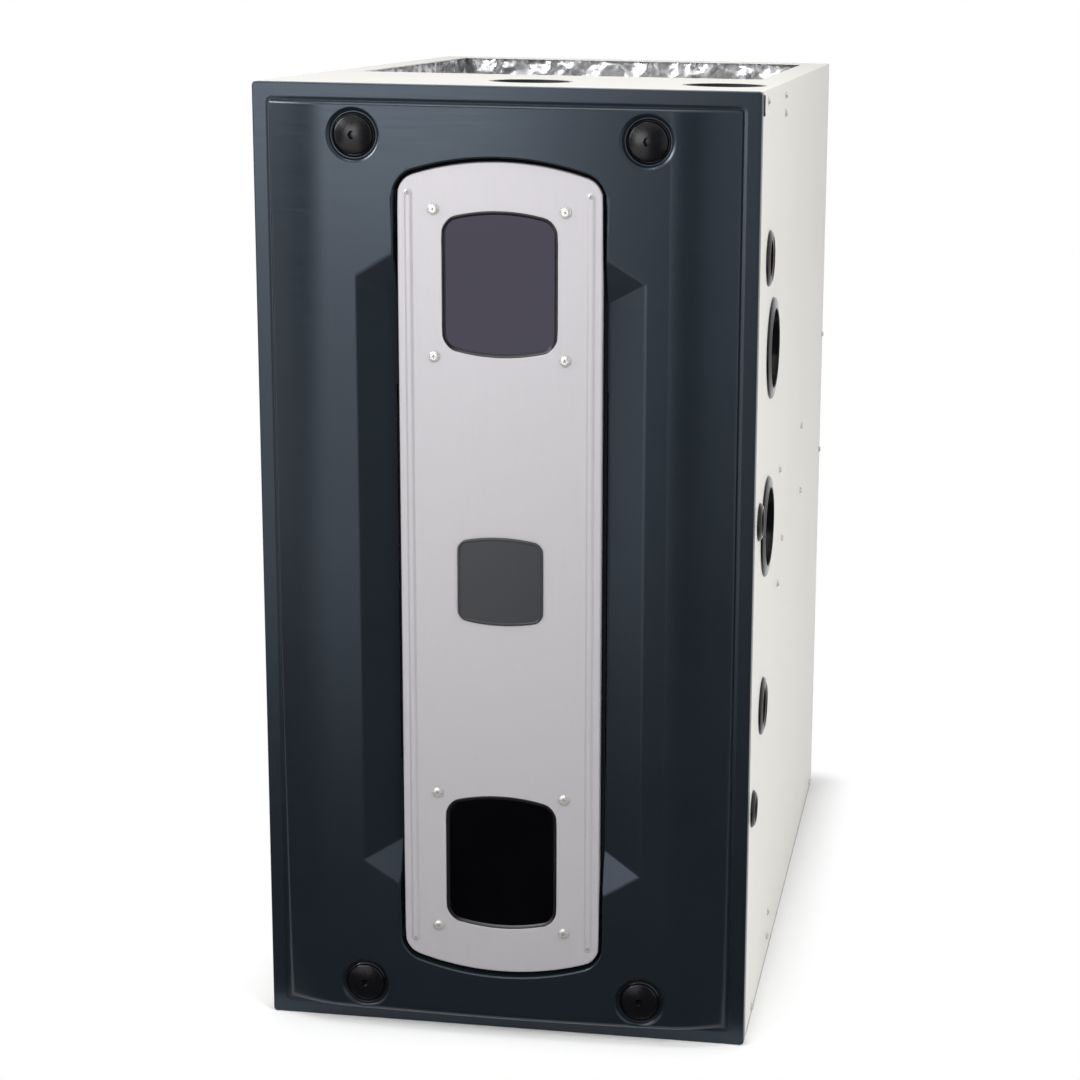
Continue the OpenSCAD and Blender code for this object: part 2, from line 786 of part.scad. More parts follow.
// A plug or grommet in a right-hand side entry
module side_plug(y, z, r, lap, bore_r) {
    difference() {
        union() {
            rod_x(y, z, r + lap, half_w, half_w + grommet_rise);
            rod_x(y, z, r, inner_x - grommet_in, half_w + bite);
        }
        if (bore_r > 0) {
            rod_x(y, z, bore_r, inner_x - grommet_in - cut, half_w + grommet_rise + cut);
        } else {
            rod_x(y, z, r - 2.5, inner_x - grommet_in - cut, half_w - 1);
            rod_x(y, z, r - 1, half_w + grommet_rise - 1.5, half_w + grommet_rise + cut);
        }
    }
}

module vent_hole_plugs() {
    color("#1b1b1d") both_sides() for (e = [entries[1], entries[2]]) {
        side_plug(e[0], e[1], e[2], vent_plug_lap, 0);
    }
}

module gas_entry_grommets() {
    e = entries[0];
    color("#19191b") both_sides() side_plug(e[0], e[1], e[2], grommet_lap, e[2] - 4);
}

module drain_entry_grommets() {
    e = entries[4];
    color("#19191b") both_sides() side_plug(e[0], e[1], e[2], grommet_lap + 1, e[2] - 4);
}

module wiring_bushings() {
    color("#1f1f22") both_sides() for (e = [entries[3], entries[5]]) {
        side_plug(e[0], e[1], e[2], grommet_lap - 1, conduit_bore_r);
    }
}

casing_screw_r = 4;
casing_screw_head = 2;

// Heads of the screws that hold the deck, the panels and the base pan to the sides: [depth, height]
module casing_screws() {
    spots = [[204, cab_h - 12], [vest_d - 11, deck_z + 92], [vest_d + 22, deck_z + 16],
        [vest_d - 10, deck_z - 22], [cab_d - 260, deck_z + 92], [cab_d - 253, deck_z + 20],
        [200, 46], [192, 24], [60, 10], [cab_d - 30, 10], [49, cab_h - 10]];
    color("#c8c7c2") both_sides() for (s = spots) {
        rod_x(rim_y + s[0], s[1], casing_screw_r, half_w, half_w + casing_screw_head);
    }
}

// Socket under the top plate: an upper bore for the house pipe, a stop, and a lower bore
module pipe_socket(x, z0, lower_r) {
    outer_r = vent_pipe_r + socket_wall;
    bore_r = vent_pipe_r + fit_gap;
    stop_z = socket_top_z - 20;
    difference() {
        union() {
            rod_z(x, top_hole_y, outer_r, z0, cab_h);
            rod_z(x, top_hole_y, top_hole_r + 5, top_in - 2.5, top_in);
        }
        rod_z(x, top_hole_y, bore_r, stop_z, cab_h + cut);
        rod_z(x, top_hole_y, vent_pipe_r - vent_wall, z0 - cut, cab_h);
        rod_z(x, top_hole_y, lower_r, z0 - cut, stop_z - 3);
    }
}

module vent_socket() {
    color("#3a3b3e") pipe_socket(vent_x, socket_top_z - socket_l - 6, vent_pipe_r + fit_gap);
}

module intake_socket() {
    color("#3a3b3e") pipe_socket(0, burner_box_z[1], vent_pipe_r - vent_wall);
}

vent_pipe_top_z = socket_top_z - 20 - 3 - fit_gap;
vent_x0 = inducer_x + scroll_r - 8;

module vent_pipe_body(r) {
    corner_x = vent_x - vent_bend;
    corner_z = inducer_out_z + vent_bend;
    rod_x(top_hole_y, inducer_out_z, r, vent_x0, corner_x);
    translate([corner_x, top_hole_y, corner_z]) rotate([90, 0, 0])
        rotate([0, 0, -90]) rotate_extrude(angle = 90) translate([vent_bend, 0]) circle(r = r);
    rod_z(vent_x, top_hole_y, r, corner_z, vent_pipe_top_z);
}

module vent_pipe() {
    color("#d9d8d2") difference() {
        vent_pipe_body(vent_pipe_r);
        vent_pipe_body(vent_pipe_r - vent_wall);
        rod_x(top_hole_y, inducer_out_z, vent_pipe_r - vent_wall, vent_x0 - cut, vent_x0 + bite);
        rod_z(vent_x, top_hole_y, vent_pipe_r - vent_wall, vent_pipe_top_z - bite, vent_pipe_top_z + cut);
    }
}

// Three level passes joined by two half-turn bends
module tube_path(x, r, ends) {
    rod_y(x, tube_zs[0], r, vest_y - 4 - ends, tube_back_y);
    tube_bend(x, tube_back_y, (tube_zs[0] + tube_zs[1])/2, r, 0);
    rod_y(x, tube_zs[1], r, tube_front_y, tube_back_y);
    tube_bend(x, tube_front_y, (tube_zs[1] + tube_zs[2])/2, r, 180);
    rod_y(x, tube_zs[2], r, tube_front_y, header_y0 + 6 + ends);
}

module tube_bend(x, y, z, r, turn) {
    translate([x, y, z]) rotate([turn, 0, 0]) rotate([0, 90, 0]) rotate([0, 0, 0])
        rotate_extrude(angle = 180) translate([tube_drop/2, 0]) circle(r = r);
}

module exchanger_tubes() {
    color("#9c9a94") for (x = burner_xs) {
        difference() {
            tube_path(x, tube_r, 0);
            tube_path(x, tube_r - tube_wall, cut);
        }
    }
}

header_top = tube_zs[2] + tube_r + 8;
header_t = 2;

// Box that takes the gases from the tubes down into the coil; it stands on the deck
module coil_header() {
    color("#a7a6a2") difference() {
        block([-coil_half, header_y0, deck_top], [coil_half, header_y0 + header_d, header_top]);
        block([-coil_half + header_t, header_y0 + header_t, coil_z[0]],
            [coil_half - header_t, header_y0 + header_d - header_t, header_top - header_t]);
        for (x = burner_xs) {
            rod_y(x, tube_zs[2], tube_r + fit_gap, header_y0 - cut, header_y0 + header_t + cut);
        }
        block([-coil_half + 12, header_y0 - cut, coil_z[0] + 8],
            [coil_half - 12, header_y0 + header_t + cut, coil_z[1] - 8]);
    }
}

coil_fins = 20;
coil_columns = 8;
coil_tube_r = 5;
coil_fin_t = 1;

// Condensing coil: straight tubes from the rear box to the front, through flat fins
module secondary_coil() {
    y0 = vest_y + sheet_t;
    pitch = (2*coil_half - 40)/(coil_columns - 1);
    row_z = [coil_z[0] + 28, (coil_z[0] + coil_z[1])/2, coil_z[1] - 28];
    fin_pitch = (header_y0 - y0 - coil_fin_t)/(coil_fins - 1);
    color("#b4b6b8") {
        for (i = [0:coil_fins - 1]) {
            block([-coil_half, y0 + i*fin_pitch, coil_z[0]],
                [coil_half, y0 + i*fin_pitch + coil_fin_t, coil_z[1]]);
        }
        for (i = [0:coil_columns - 1], z = row_z) {
            rod_y(-coil_half + 20 + i*pitch, z, coil_tube_r, y0, header_y0);
        }
    }
}

drain_x = 145;
drain_r = 12;
drain_y = vest_y - 40;
collector_t = 3;

module collector_box() {
    color("#26272a") difference() {
        union() {
            block([-collector_half, collector_y, coil_z[0]], [collector_half, vest_y, coil_z[1]]);
            block([collector_half - bite, drain_y - drain_r - 4, coil_z[0]],
                [drain_x + drain_r + 4, drain_y + drain_r + 4, coil_z[0] + 24]);
        }
        block([-collector_half + collector_t, collector_y + collector_t, coil_z[0] + collector_t],
            [collector_half - collector_t, vest_y + cut, coil_z[1] - collector_t]);
        rod_y(inducer_x, inducer_z, inducer_wheel_r/2, collector_y - cut, collector_y + collector_t + cut);
    }
}

module burner_box() {
    t = burner_box_t;
    y0 = burner_box_front_y;
    color("#aeb0b0") difference() {
        block([-burner_box_half, y0, burner_box_z[0]], [burner_box_half, vest_y, burner_box_z[1]]);
        block([-burner_box_half + t, y0 + t, burner_box_z[0] + t],
            [burner_box_half - t, vest_y - t, burner_box_z[1] - t]);
        for (x = burner_xs) {
            rod_y(x, burner_z, tube_r + fit_gap, vest_y - t - cut, vest_y + cut);
            rod_y(x, burner_z, orifice_r + 3, y0 - cut, y0 + t + cut);
        }
        rod_z(0, top_hole_y, vent_pipe_r - vent_wall, burner_box_z[1] - t - cut, burner_box_z[1] + cut);
    }
}

burner_len = 92;
burner_mouth_r = 15;
burner_throat_r = 9;
burner_head_r = 16;
burner_y0 = burner_box_front_y + 8;

// Inshot burners in one carrier plate that stands on the floor of the burner box
module burners() {
    plate_y = burner_y0 + burner_len/2;
    color("#8f8d88") difference() {
        union() {
            for (x = burner_xs) {
                translate([x, burner_y0, burner_z]) rotate([-90, 0, 0])
                    rotate_extrude() polygon([[0, 0], [burner_mouth_r, 0], [burner_mouth_r, 4],
                        [burner_throat_r + 2, 26], [burner_throat_r + 2, burner_len - 20],
                        [burner_head_r, burner_len - 12], [burner_head_r, burner_len], [0, burner_len]]);
            }
            block([burner_xs[0] - 22, plate_y - 1, burner_box_z[0] + burner_box_t],
                [burner_xs[burner_n - 1] + 22, plate_y + 1, burner_z + 4]);
        }
        for (x = burner_xs) {
            translate([x, burner_y0 - 1, burner_z]) rotate([-90, 0, 0])
                cylinder(r1 = burner_mouth_r - 1, r2 = burner_throat_r, h = 28);
            rod_y(x, burner_z, burner_throat_r, burner_y0 + 20, burner_y0 + burner_len + 1);
        }
    }
}

orifice_r = 5;

// Pipe with one orifice a burner, end brackets on the burner box and an elbow down to the valve
module manifold() {
    y1 = burner_box_front_y;
    end_x = burner_box_half - 8;
    color("#77787a") {
        rod_x(manifold_y, burner_z, manifold_r, valve_x, end_x);
        translate([valve_x, manifold_y, burner_z]) sphere(r = manifold_r);
        rod_z(valve_x, manifold_y, manifold_r, valve_z1, burner_z);
        for (x = burner_xs) {
            rod_y(x, burner_z, orifice_r, manifold_y, y1 + 5);
        }
        both_sides() block([end_x - 12, manifold_y, burner_z - 9], [end_x - 2, y1, burner_z + 9]);
    }
}

valve_spindle_r = 4;
valve_knob_z = valve_z0 + 36;

module gas_valve() {
    inlet_x = -inner_x + 5;
    inlet_depth = 25;
    color("#8d9094") difference() {
        union() {
            block([valve_x0, valve_y0, valve_z0], [valve_x1, valve_y1, valve_z1]);
            rod_y(valve_x, valve_knob_z + 36, 15, valve_y0 - 14, valve_y0 + bite);
            rod_x(gas_entry_y, gas_entry_z, gas_entry_r - 6, inlet_x, valve_x0 + bite);
        }
        rod_x(gas_entry_y, gas_entry_z, gas_bore_r, inlet_x - cut, inlet_x + inlet_depth);
        rod_y(valve_x, valve_knob_z, valve_spindle_r + run_gap, valve_y0 - cut, valve_y0 + 9);
    }
}

module gas_valve_knob() {
    y1 = valve_y0 - move_gap;
    color("#202124") translate([valve_x, 0, valve_knob_z]) {
        rod_y(0, 0, 14, y1 - 7, y1);
        block([-3, y1 - 13, -13], [3, y1 - 7 + bite, 13]);
        rod_y(0, 0, valve_spindle_r, y1 - bite, valve_y0 + 8);
    }
}

flame_y = burner_y0 + burner_len + 12;

module igniter() {
    z0 = burner_box_z[0] + burner_box_t;
    color("#e4dfd2") {
        block([burner_xs[0] - 8, flame_y - 6, z0], [burner_xs[0] + 8, flame_y + 6, z0 + 12]);
        both_sides_at(burner_xs[0], 3) rod_z(0, flame_y, 1.6, z0 + 11, burner_z - 4);
        rod_x(flame_y, burner_z - 4, 1.6, burner_xs[0] - 4.6, burner_xs[0] + 4.6);
    }
}

module both_sides_at(x, dx) {
    for (s = [-1, 1]) {
        translate([x + s*dx, 0, 0]) children();
    }
}

module flame_sensor() {
    x = burner_xs[burner_n - 1];
    z0 = burner_box_z[0] + burner_box_t;
    color("#dcd7ca") {
        rod_z(x, flame_y, 5, z0, z0 + 18);
        rod_z(x, flame_y, 1.5, z0 + 17, burner_z - 2);
    }
}

rollout_x = 74;
rollout_y = burner_box_front_y + 20;
rollout_button_r = 2.5;

module rollout_switches() {
    z0 = burner_box_z[1];
    color("#2b2b2e") both_sides() difference() {
        union() {
            rod_z(rollout_x, rollout_y, 9, z0, z0 + 8);
            block([rollout_x - 15, rollout_y - 6, z0], [rollout_x + 15, rollout_y + 6, z0 + 1]);
        }
        rod_z(rollout_x, rollout_y, rollout_button_r + run_gap, z0 + 2, z0 + 9);
    }
}

module rollout_reset(x) {
    z0 = burner_box_z[1];
    color("#b3231c") rod_z(x, rollout_y, rollout_button_r, z0 + 5, z0 + 11);
}

module rollout_reset_left() {
    rollout_reset(-rollout_x);
}

module rollout_reset_right() {
    rollout_reset(rollout_x);
}

module pressure_switch() {
    x = -inner_x + 53.25;
    z = gas_entry_z - 142;
    color("#3d3e42") {
        rod_y(x, z, 30, vest_y - 26, vest_y - 8);
        rod_y(x, z, 12, vest_y - 34, vest_y - 25);
        block([x - 8, vest_y - 9, z - 38], [x + 8, vest_y, z + 38]);
        rod_y(x + 16, z + 16, 3, vest_y - 40, vest_y - 25);
    }
}

module inducer_housing() {
    wall = 4;
    y0 = inducer_y0;
    y1 = inducer_y1;
    socket_r = vent_pipe_r + fit_gap;
    x1 = inducer_x + scroll_r + 12;
    color("#2f3033") difference() {
        union() {
            rod_y(inducer_x, inducer_z, scroll_r, y0, y1);
            rod_x(top_hole_y, inducer_out_z, socket_r + 2.5, inducer_x, x1);
        }
        rod_y(inducer_x, inducer_z, scroll_r - wall, y0 + wall, y1 - wall);
        rod_y(inducer_x, inducer_z, inducer_wheel_r/2, y1 - wall - cut, y1 + cut);
        rod_y(inducer_x, inducer_z, inducer_shaft_r + 3, y0 - cut, y0 + wall + cut);
        rod_x(top_hole_y, inducer_out_z, vent_pipe_r - vent_wall, inducer_x, x1);
        rod_x(top_hole_y, inducer_out_z, socket_r, vent_x0 - fit_gap, x1 + cut);
    }
}

inducer_motor_y0 = inducer_y0 - 48;

// The wheel and its shaft are one piece
module inducer_wheel() {
    y1 = inducer_y1 - 12;
    y0 = y1 - inducer_wheel_w;
    color("#c2c3c4") {
        rod_y(inducer_x, inducer_z, inducer_wheel_r, y0, y0 + 2);
        rod_y(inducer_x, inducer_z, 12, y0, y0 + 16);
        rod_y(inducer_x, inducer_z, inducer_shaft_r, inducer_motor_y0 + 12, y0 + bite);
        for (i = [0:inducer_blades - 1]) {
            translate([inducer_x, 0, inducer_z]) rotate([0, i*360/inducer_blades, 0])
                block([inducer_wheel_r/2 + 4, y0 + 1, -0.8], [inducer_wheel_r - 2, y1, 0.8]);
        }
    }
}

module inducer_motor() {
    color("#4a4b4d") difference() {
        union() {
            rod_y(inducer_x, inducer_z, inducer_motor_r, inducer_motor_y0, inducer_y0 - 6);
            rod_y(inducer_x, inducer_z, inducer_motor_r + 10, inducer_y0 - 4, inducer_y0);
            rod_y(inducer_x, inducer_z, inducer_motor_r - 10, inducer_y0 - 7, inducer_y0 - 3);
        }
        rod_y(inducer_x, inducer_z, inducer_shaft_r + run_gap, inducer_motor_y0 + 10, inducer_y0 + cut);
    }
}

trap_x = [drain_x - drain_r - 3, inner_x - 18];
trap_z = [deck_z - 150, deck_z - 60];
trap_y0 = rim_y + drain_entry_d - 17;
drain_entry_y = rim_y + drain_entry_d;
drain_bore_r = 9;

// Trap below the deck: a pipe from the collector box, a hanger on the side and an outlet to the entry
module condensate_trap() {
    outlet_x = half_w - 1;
    color("#cfd0cc") difference() {
        union() {
            block([trap_x[0], trap_y0, trap_z[0]], [trap_x[1], drain_y + drain_r + 3, trap_z[1]]);
            rod_z(drain_x, drain_y, drain_r, trap_z[1] - bite, coil_z[0]);
            block([trap_x[1] - bite, drain_y - 30, trap_z[1] - 12], [inner_x, drain_y, trap_z[1]]);
            rod_x(drain_entry_y, drain_entry_z, drain_bore_r + 3, trap_x[1] - bite, outlet_x);
        }
        rod_x(drain_entry_y, drain_entry_z, drain_bore_r, outlet_x - 30, outlet_x + cut);
    }
}

module control_panel() {
    color("#bdbfbf") {
        block([-panel_half, panel_y, panel_z0], [panel_half, panel_y + sheet_t, deck_z]);
        block([-panel_half, panel_y, deck_z - sheet_t], [panel_half, panel_y + 18, deck_z]);
        both_sides() block([panel_half - sheet_t, panel_y, panel_z0], [panel_half, panel_y + 5, deck_z]);
    }
}

standoff_h = 11;

module control_board() {
    x0 = board_x - board_w/2;
    y1 = panel_y - standoff_h;
    color("#23603b") {
        block([x0, y1 - 1.6, board_z], [x0 + board_w, y1, board_z + board_h]);
        for (dx = [8, board_w - 8], dz = [8, board_h - 8]) {
            rod_y(x0 + dx, board_z + dz, 3, y1 - bite, panel_y);
        }
        for (i = [0:3]) {
            block([x0 + 16 + 32*i, y1 - 18, board_z + 92], [x0 + 40 + 32*i, y1 - 1, board_z + 118]);
        }
        block([x0 + 20, y1 - 12, board_z + 6], [x0 + 110, y1 - 1, board_z + 20]);
        block([x0 + 24, y1 - 6, board_z + 42], [x0 + 64, y1 - 1, board_z + 68]);
    }
}

module transformer() {
    x0 = board_x + board_w/2 + 16;
    x1 = x0 + 64;
    z0 = board_z + 40;
    color("#3b3c40") {
        block([x0, panel_y - 34, z0], [x1, panel_y - 10, z0 + 56]);
        block([x0 + 12, panel_y - 48, z0 + 10], [x1 - 12, panel_y, z0 + 46]);
        block([x0 - 8, panel_y - 2, z0 + 12], [x1 + 8, panel_y, z0 + 44]);
    }
}

plunger_w = 6;
plunger_h = 8;

module door_switch() {
    y0 = seat_y - 1.5;
    z = deck_z - 12;
    color("#e8e6df") difference() {
        union() {
            block([switch_x - 12, y0, z - 10], [switch_x + 12, seat_y, z + 10]);
            block([switch_x - 8, seat_y - bite, z - 7], [switch_x + 8, seat_y + 28, z + 7]);
        }
        block([switch_x - plunger_w/2 - fit_gap, y0 - cut, z - plunger_h/2 - fit_gap],
            [switch_x + plunger_w/2 + fit_gap, seat_y + 16, z + plunger_h/2 + fit_gap]);
    }
}

// Stands just clear of the closed door's liner
module door_switch_plunger() {
    z = deck_z - 12;
    color("#d33b2b") block([switch_x - plunger_w/2, liner_y + liner_t + move_gap, z - plunger_h/2],
        [switch_x + plunger_w/2, seat_y + 12, z + plunger_h/2]);
}

// Spiral wall of the blower housing, from over the wheel round the front and below to the back
function spiral(t) = [for (i = [0:36])
    let (a = 270*i/36, r = scroll_min - t + scroll_grow*i/36)
    [blower_y - r*sin(a), blower_z + r*cos(a)]];

module scroll_outline(t, top) {
    polygon(concat(spiral(t), [[blower_y + scroll_max - t, top], [blower_y + discharge_y + t, top],
        [blower_y + discharge_y + t, blower_z + scroll_min - t]]));
}

module blower_housing() {
    inside = blower_side - blower_t;
    color("#bfc1c2") difference() {
        along_x(-inside, inside) scroll_outline(0, deck_z);
        along_x(-inside - cut, inside + cut) scroll_outline(blower_t, deck_z + cut);
    }
}

// Side plates with the round inlets, and the flanges that hang the blower under the deck
module blower_sides() {
    color("#bfc1c2") both_sides() {
        difference() {
            along_x(blower_side - blower_t, blower_side) scroll_outline(0, deck_z);
            rod_x(blower_y, blower_z, inlet_r, blower_side - cut - blower_t, blower_side + cut);
        }
        block([blower_side - blower_t, blower_y + discharge_y, deck_z - 2],
            [blower_side + 14, blower_y + scroll_max, deck_z]);
    }
}

// Section of one forward-curved blade, standing at the wheel's rim
module blade_section() {
    chord_r = 0.62*blade_d;
    polygon(concat(arc(0, 0, chord_r, -55, 55, 2), [for (p = arc(0, 0, chord_r - 1, -55, 55, 2)) [p[0], -p[1]]]));
}

// The blades stand between the wheel's middle disc and its end rings
module blower_blades() {
    color("#b1b3b5") both_sides() for (i = [0:wheel_blades - 1]) {
        along_x(wheel_disc_t/2, wheel_w/2 - wheel_ring_t) translate([blower_y, blower_z])
            rotate(i*360/wheel_blades) translate([wheel_r - blade_d/2 - 1, -0.5*blade_d]) rotate(90)
            blade_section();
    }
}

wheel_ring_t = 3;
wheel_disc_t = 2;

module blower_wheel() {
    half = wheel_w/2;
    color("#b1b3b5") {
        both_sides() difference() {
            rod_x(blower_y, blower_z, wheel_r, half - wheel_ring_t, half);
            rod_x(blower_y, blower_z, wheel_r - blade_d, half - wheel_ring_t - cut, half + cut);
        }
        difference() {
            union() {
                rod_x(blower_y, blower_z, wheel_r - 2, -wheel_disc_t/2, wheel_disc_t/2);
                rod_x(blower_y, blower_z, wheel_hub_r, -wheel_hub_half, wheel_hub_half);
            }
            rod_x(blower_y, blower_z, shaft_r + run_gap/2, -wheel_hub_half - cut, wheel_hub_half + cut);
        }
    }
}

module blower_shaft() {
    color("#8f9194") rod_x(blower_y, blower_z, shaft_r, motor_x1 - 34, wheel_hub_half + 4);
}

arm_w = 14;
arm_t = 2;

// Motor with three arms to the housing's side
module blower_motor() {
    color("#505255") difference() {
        union() {
            rod_x(blower_y, blower_z, motor_r, motor_x0 + 10, motor_x1 - 10);
            rod_x(blower_y, blower_z, motor_r - 12, motor_x0, motor_x1);
            translate([0, blower_y, blower_z]) for (a = [90, 210, 330]) {
                rotate([a, 0, 0]) block([-blower_side - arm_t, motor_r - 4, -arm_w/2],
                    [-blower_side, inlet_r + 12, arm_w/2]);
            }
        }
        rod_x(blower_y, blower_z, shaft_r + run_gap, motor_x1 - 36, motor_x1 + cut);
    }
}

cabinet_wrapper();
top_plate();
base_pan();
blower_deck();
vestibule_panel();
foil_insulation();
door_panel();
door_liner();
door_gasket();
front_strip();
upper_window();
lower_window();
window_bezels();
window_screws();
badge_plate();
latch_rings();
latch_knob_top_left();
latch_knob_top_right();
latch_knob_bottom_left();
latch_knob_bottom_right();
latch_receivers();
vent_hole_plugs();
gas_entry_grommets();
drain_entry_grommets();
wiring_bushings();
casing_screws();
vent_socket();
intake_socket();
vent_pipe();
exchanger_tubes();
coil_header();
secondary_coil();
collector_box();
burner_box();
burners();
manifold();
gas_valve();
gas_valve_knob();
igniter();
flame_sensor();
rollout_switches();
rollout_reset_left();
rollout_reset_right();
pressure_switch();
inducer_housing();
inducer_wheel();
inducer_motor();
condensate_trap();
control_panel();
control_board();
transformer();
door_switch();
door_switch_plunger();
blower_housing();
blower_sides();
blower_wheel();
blower_blades();
blower_shaft();
blower_motor();
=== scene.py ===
"""An upflow forced air gas furnace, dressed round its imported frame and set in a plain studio.

Sizes are in millimetres and the meshes in metres, on the frame's axes: +X the viewer's right, -Y the door side, +Z up.
"""
import json
import logging
import math
from dataclasses import dataclass, field
from enum import Enum
from typing import Callable, Iterable, Sequence

import bmesh
import bpy
import numpy as np
from bpy.types import Mesh, Node, NodeSocket, NodeTree, Object
from mathutils import Matrix, Vector
from mathutils.geometry import delaunay_2d_cdt


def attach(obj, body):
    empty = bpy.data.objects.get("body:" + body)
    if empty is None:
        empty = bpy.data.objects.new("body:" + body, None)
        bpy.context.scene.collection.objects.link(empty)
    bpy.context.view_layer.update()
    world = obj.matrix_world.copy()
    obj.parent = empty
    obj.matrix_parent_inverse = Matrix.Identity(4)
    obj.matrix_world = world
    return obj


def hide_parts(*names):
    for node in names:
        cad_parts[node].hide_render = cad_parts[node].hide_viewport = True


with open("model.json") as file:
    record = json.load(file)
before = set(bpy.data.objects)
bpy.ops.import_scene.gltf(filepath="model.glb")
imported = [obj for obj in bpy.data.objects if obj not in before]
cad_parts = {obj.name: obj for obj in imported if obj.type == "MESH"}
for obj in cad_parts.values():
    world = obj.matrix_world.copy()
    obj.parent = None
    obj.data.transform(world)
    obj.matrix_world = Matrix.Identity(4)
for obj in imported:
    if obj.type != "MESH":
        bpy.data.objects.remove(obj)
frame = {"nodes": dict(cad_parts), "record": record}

LOG = logging.getLogger("furnace")
MM = 0.001
# The casing's width and height, and where the door's rim, its seat and the back are along Y.
CAB_W, CAB_H = 444.5, 863.6
RIM_Y, SEAT_Y, BACK_Y = -345.0, -332.7, 365.0
# The door's middle, how far above and below it the windows are, and how far the strip stands before the rim.
MID_Z, WINDOW_Z, STRIP_FACE = CAB_H / 2, 263.5, 16.0
# Left and right, or bottom and top.
BOTH = (-1, 1)
# Types: two, three or four numbers, numbers in an array, an outline, and a rule over X and Z.
Two, Three, Four = tuple[float, float], tuple[float, float, float], tuple[float, float, float, float]
Grid = np.ndarray
Loop = list[Two]
Height = Callable[[Grid, Grid], Grid]


# ---------------------------------------------------------------- colours and finishes

def linear(colour: str) -> Four:
    """Turns an sRGB hex colour into the linear colour that a shader takes.

    Args:
        colour: Six hex digits after a hash.
    Returns:
        Red, green, blue and an alpha of 1.
    """
    parts = (int(colour[i:i + 2], 16) / 255 for i in (1, 3, 5))
    red, green, blue = (c / 12.92 if c <= 0.04045 else ((c + 0.055) / 1.055) ** 2.4 for c in parts)
    return red, green, blue, 1.0


def add_node(tree: NodeTree, kind: str, inputs: dict | None = None, **settings: object) -> Node:
    """Adds a node with its settings, its values and its links.

    Args:
        tree: The shader, world or geometry tree.
        kind: The node's type name.
        inputs: Value or output socket for each input, by the input's name or number.
        settings: The node's own properties.
    Returns:
        The new node.
    """
    made = tree.nodes.new(kind)
    for name, value in settings.items():
        setattr(made, name, value)
    for name, value in (inputs or {}).items():
        if isinstance(value, NodeSocket):
            tree.links.new(value, made.inputs[name])
        else:
            made.inputs[name].default_value = value
    return made


def maths(tree: NodeTree, operation: str, *values: object, kind: str = "ShaderNodeMath") -> NodeSocket:
    """Adds a math node, for numbers or vectors, and returns its first output."""
    return add_node(tree, kind, dict(enumerate(values)), operation=operation).outputs[0]


def blank_tree(owner: bpy.types.Material | bpy.types.World) -> NodeTree:
    """Turns an owner's nodes on and empties them."""
    owner.use_nodes = True
    owner.node_tree.nodes.clear()
    return owner.node_tree


def linked(name: str, data: bpy.types.ID) -> Object:
    """A new object, put in the scene."""
    made = bpy.data.objects.new(name, data)
    bpy.context.scene.collection.objects.link(made)
    return made


class Pattern(Enum):
    """How a grain is laid over a surface."""

    CLOUD = "even clouds"
    CELLS = "flat cells with their own shade"
    CREASES = "facets that meet in creases"


@dataclass(frozen=True)
class Grain:
    """One pattern in a finish.

    size is the pattern's real size in mm and stretch draws it out along X, Y and Z. tint is how far it moves the
    colour, gloss how far it moves the roughness, and depth how deep it is in mm.
    """

    size: float
    pattern: Pattern = Pattern.CLOUD
    stretch: Three = (1.0, 1.0, 1.0)
    tint: float = 0.0
    gloss: float = 0.0
    depth: float = 0.0
    detail: float = 2.0

    def factor(self, tree: NodeTree) -> NodeSocket:
        """Adds the pattern's nodes and returns the socket that carries it, from 0 to 1."""
        spot = add_node(tree, "ShaderNodeTexCoord").outputs["Object"]
        scale = [1000.0 / (self.size * s) for s in self.stretch]
        spot = add_node(tree, "ShaderNodeMapping", {"Vector": spot, "Scale": scale}).outputs["Vector"]
        if self.pattern is Pattern.CLOUD:
            noise = add_node(tree, "ShaderNodeTexNoise", {"Vector": spot, "Scale": 1.0, "Detail": self.detail})
            return noise.outputs["Fac"]
        if self.pattern is Pattern.CREASES:
            warp = add_node(tree, "ShaderNodeTexNoise", {"Vector": spot, "Scale": 0.8, "Detail": 1.0}).outputs["Color"]
            spot = add_node(tree, "ShaderNodeMixRGB", {"Fac": 0.35, "Color1": spot, "Color2": warp}).outputs["Color"]
            facets = add_node(tree, "ShaderNodeTexVoronoi", {"Vector": spot, "Scale": 1.0}, feature="F1")
            return facets.outputs["Distance"]
        cells = add_node(tree, "ShaderNodeTexVoronoi", {"Vector": spot, "Scale": 1.0}).outputs["Color"]
        return add_node(tree, "ShaderNodeSeparateColor", {"Color": cells}).outputs["Red"]

    @staticmethod
    def between(tree: NodeTree, fac: NodeSocket, low: float, high: float) -> NodeSocket:
        """Spreads the middle half of a pattern over a range."""
        return add_node(tree, "ShaderNodeMapRange", {
            "Value": fac, "From Min": 0.25, "From Max": 0.75, "To Min": low, "To Max": high}).outputs[0]


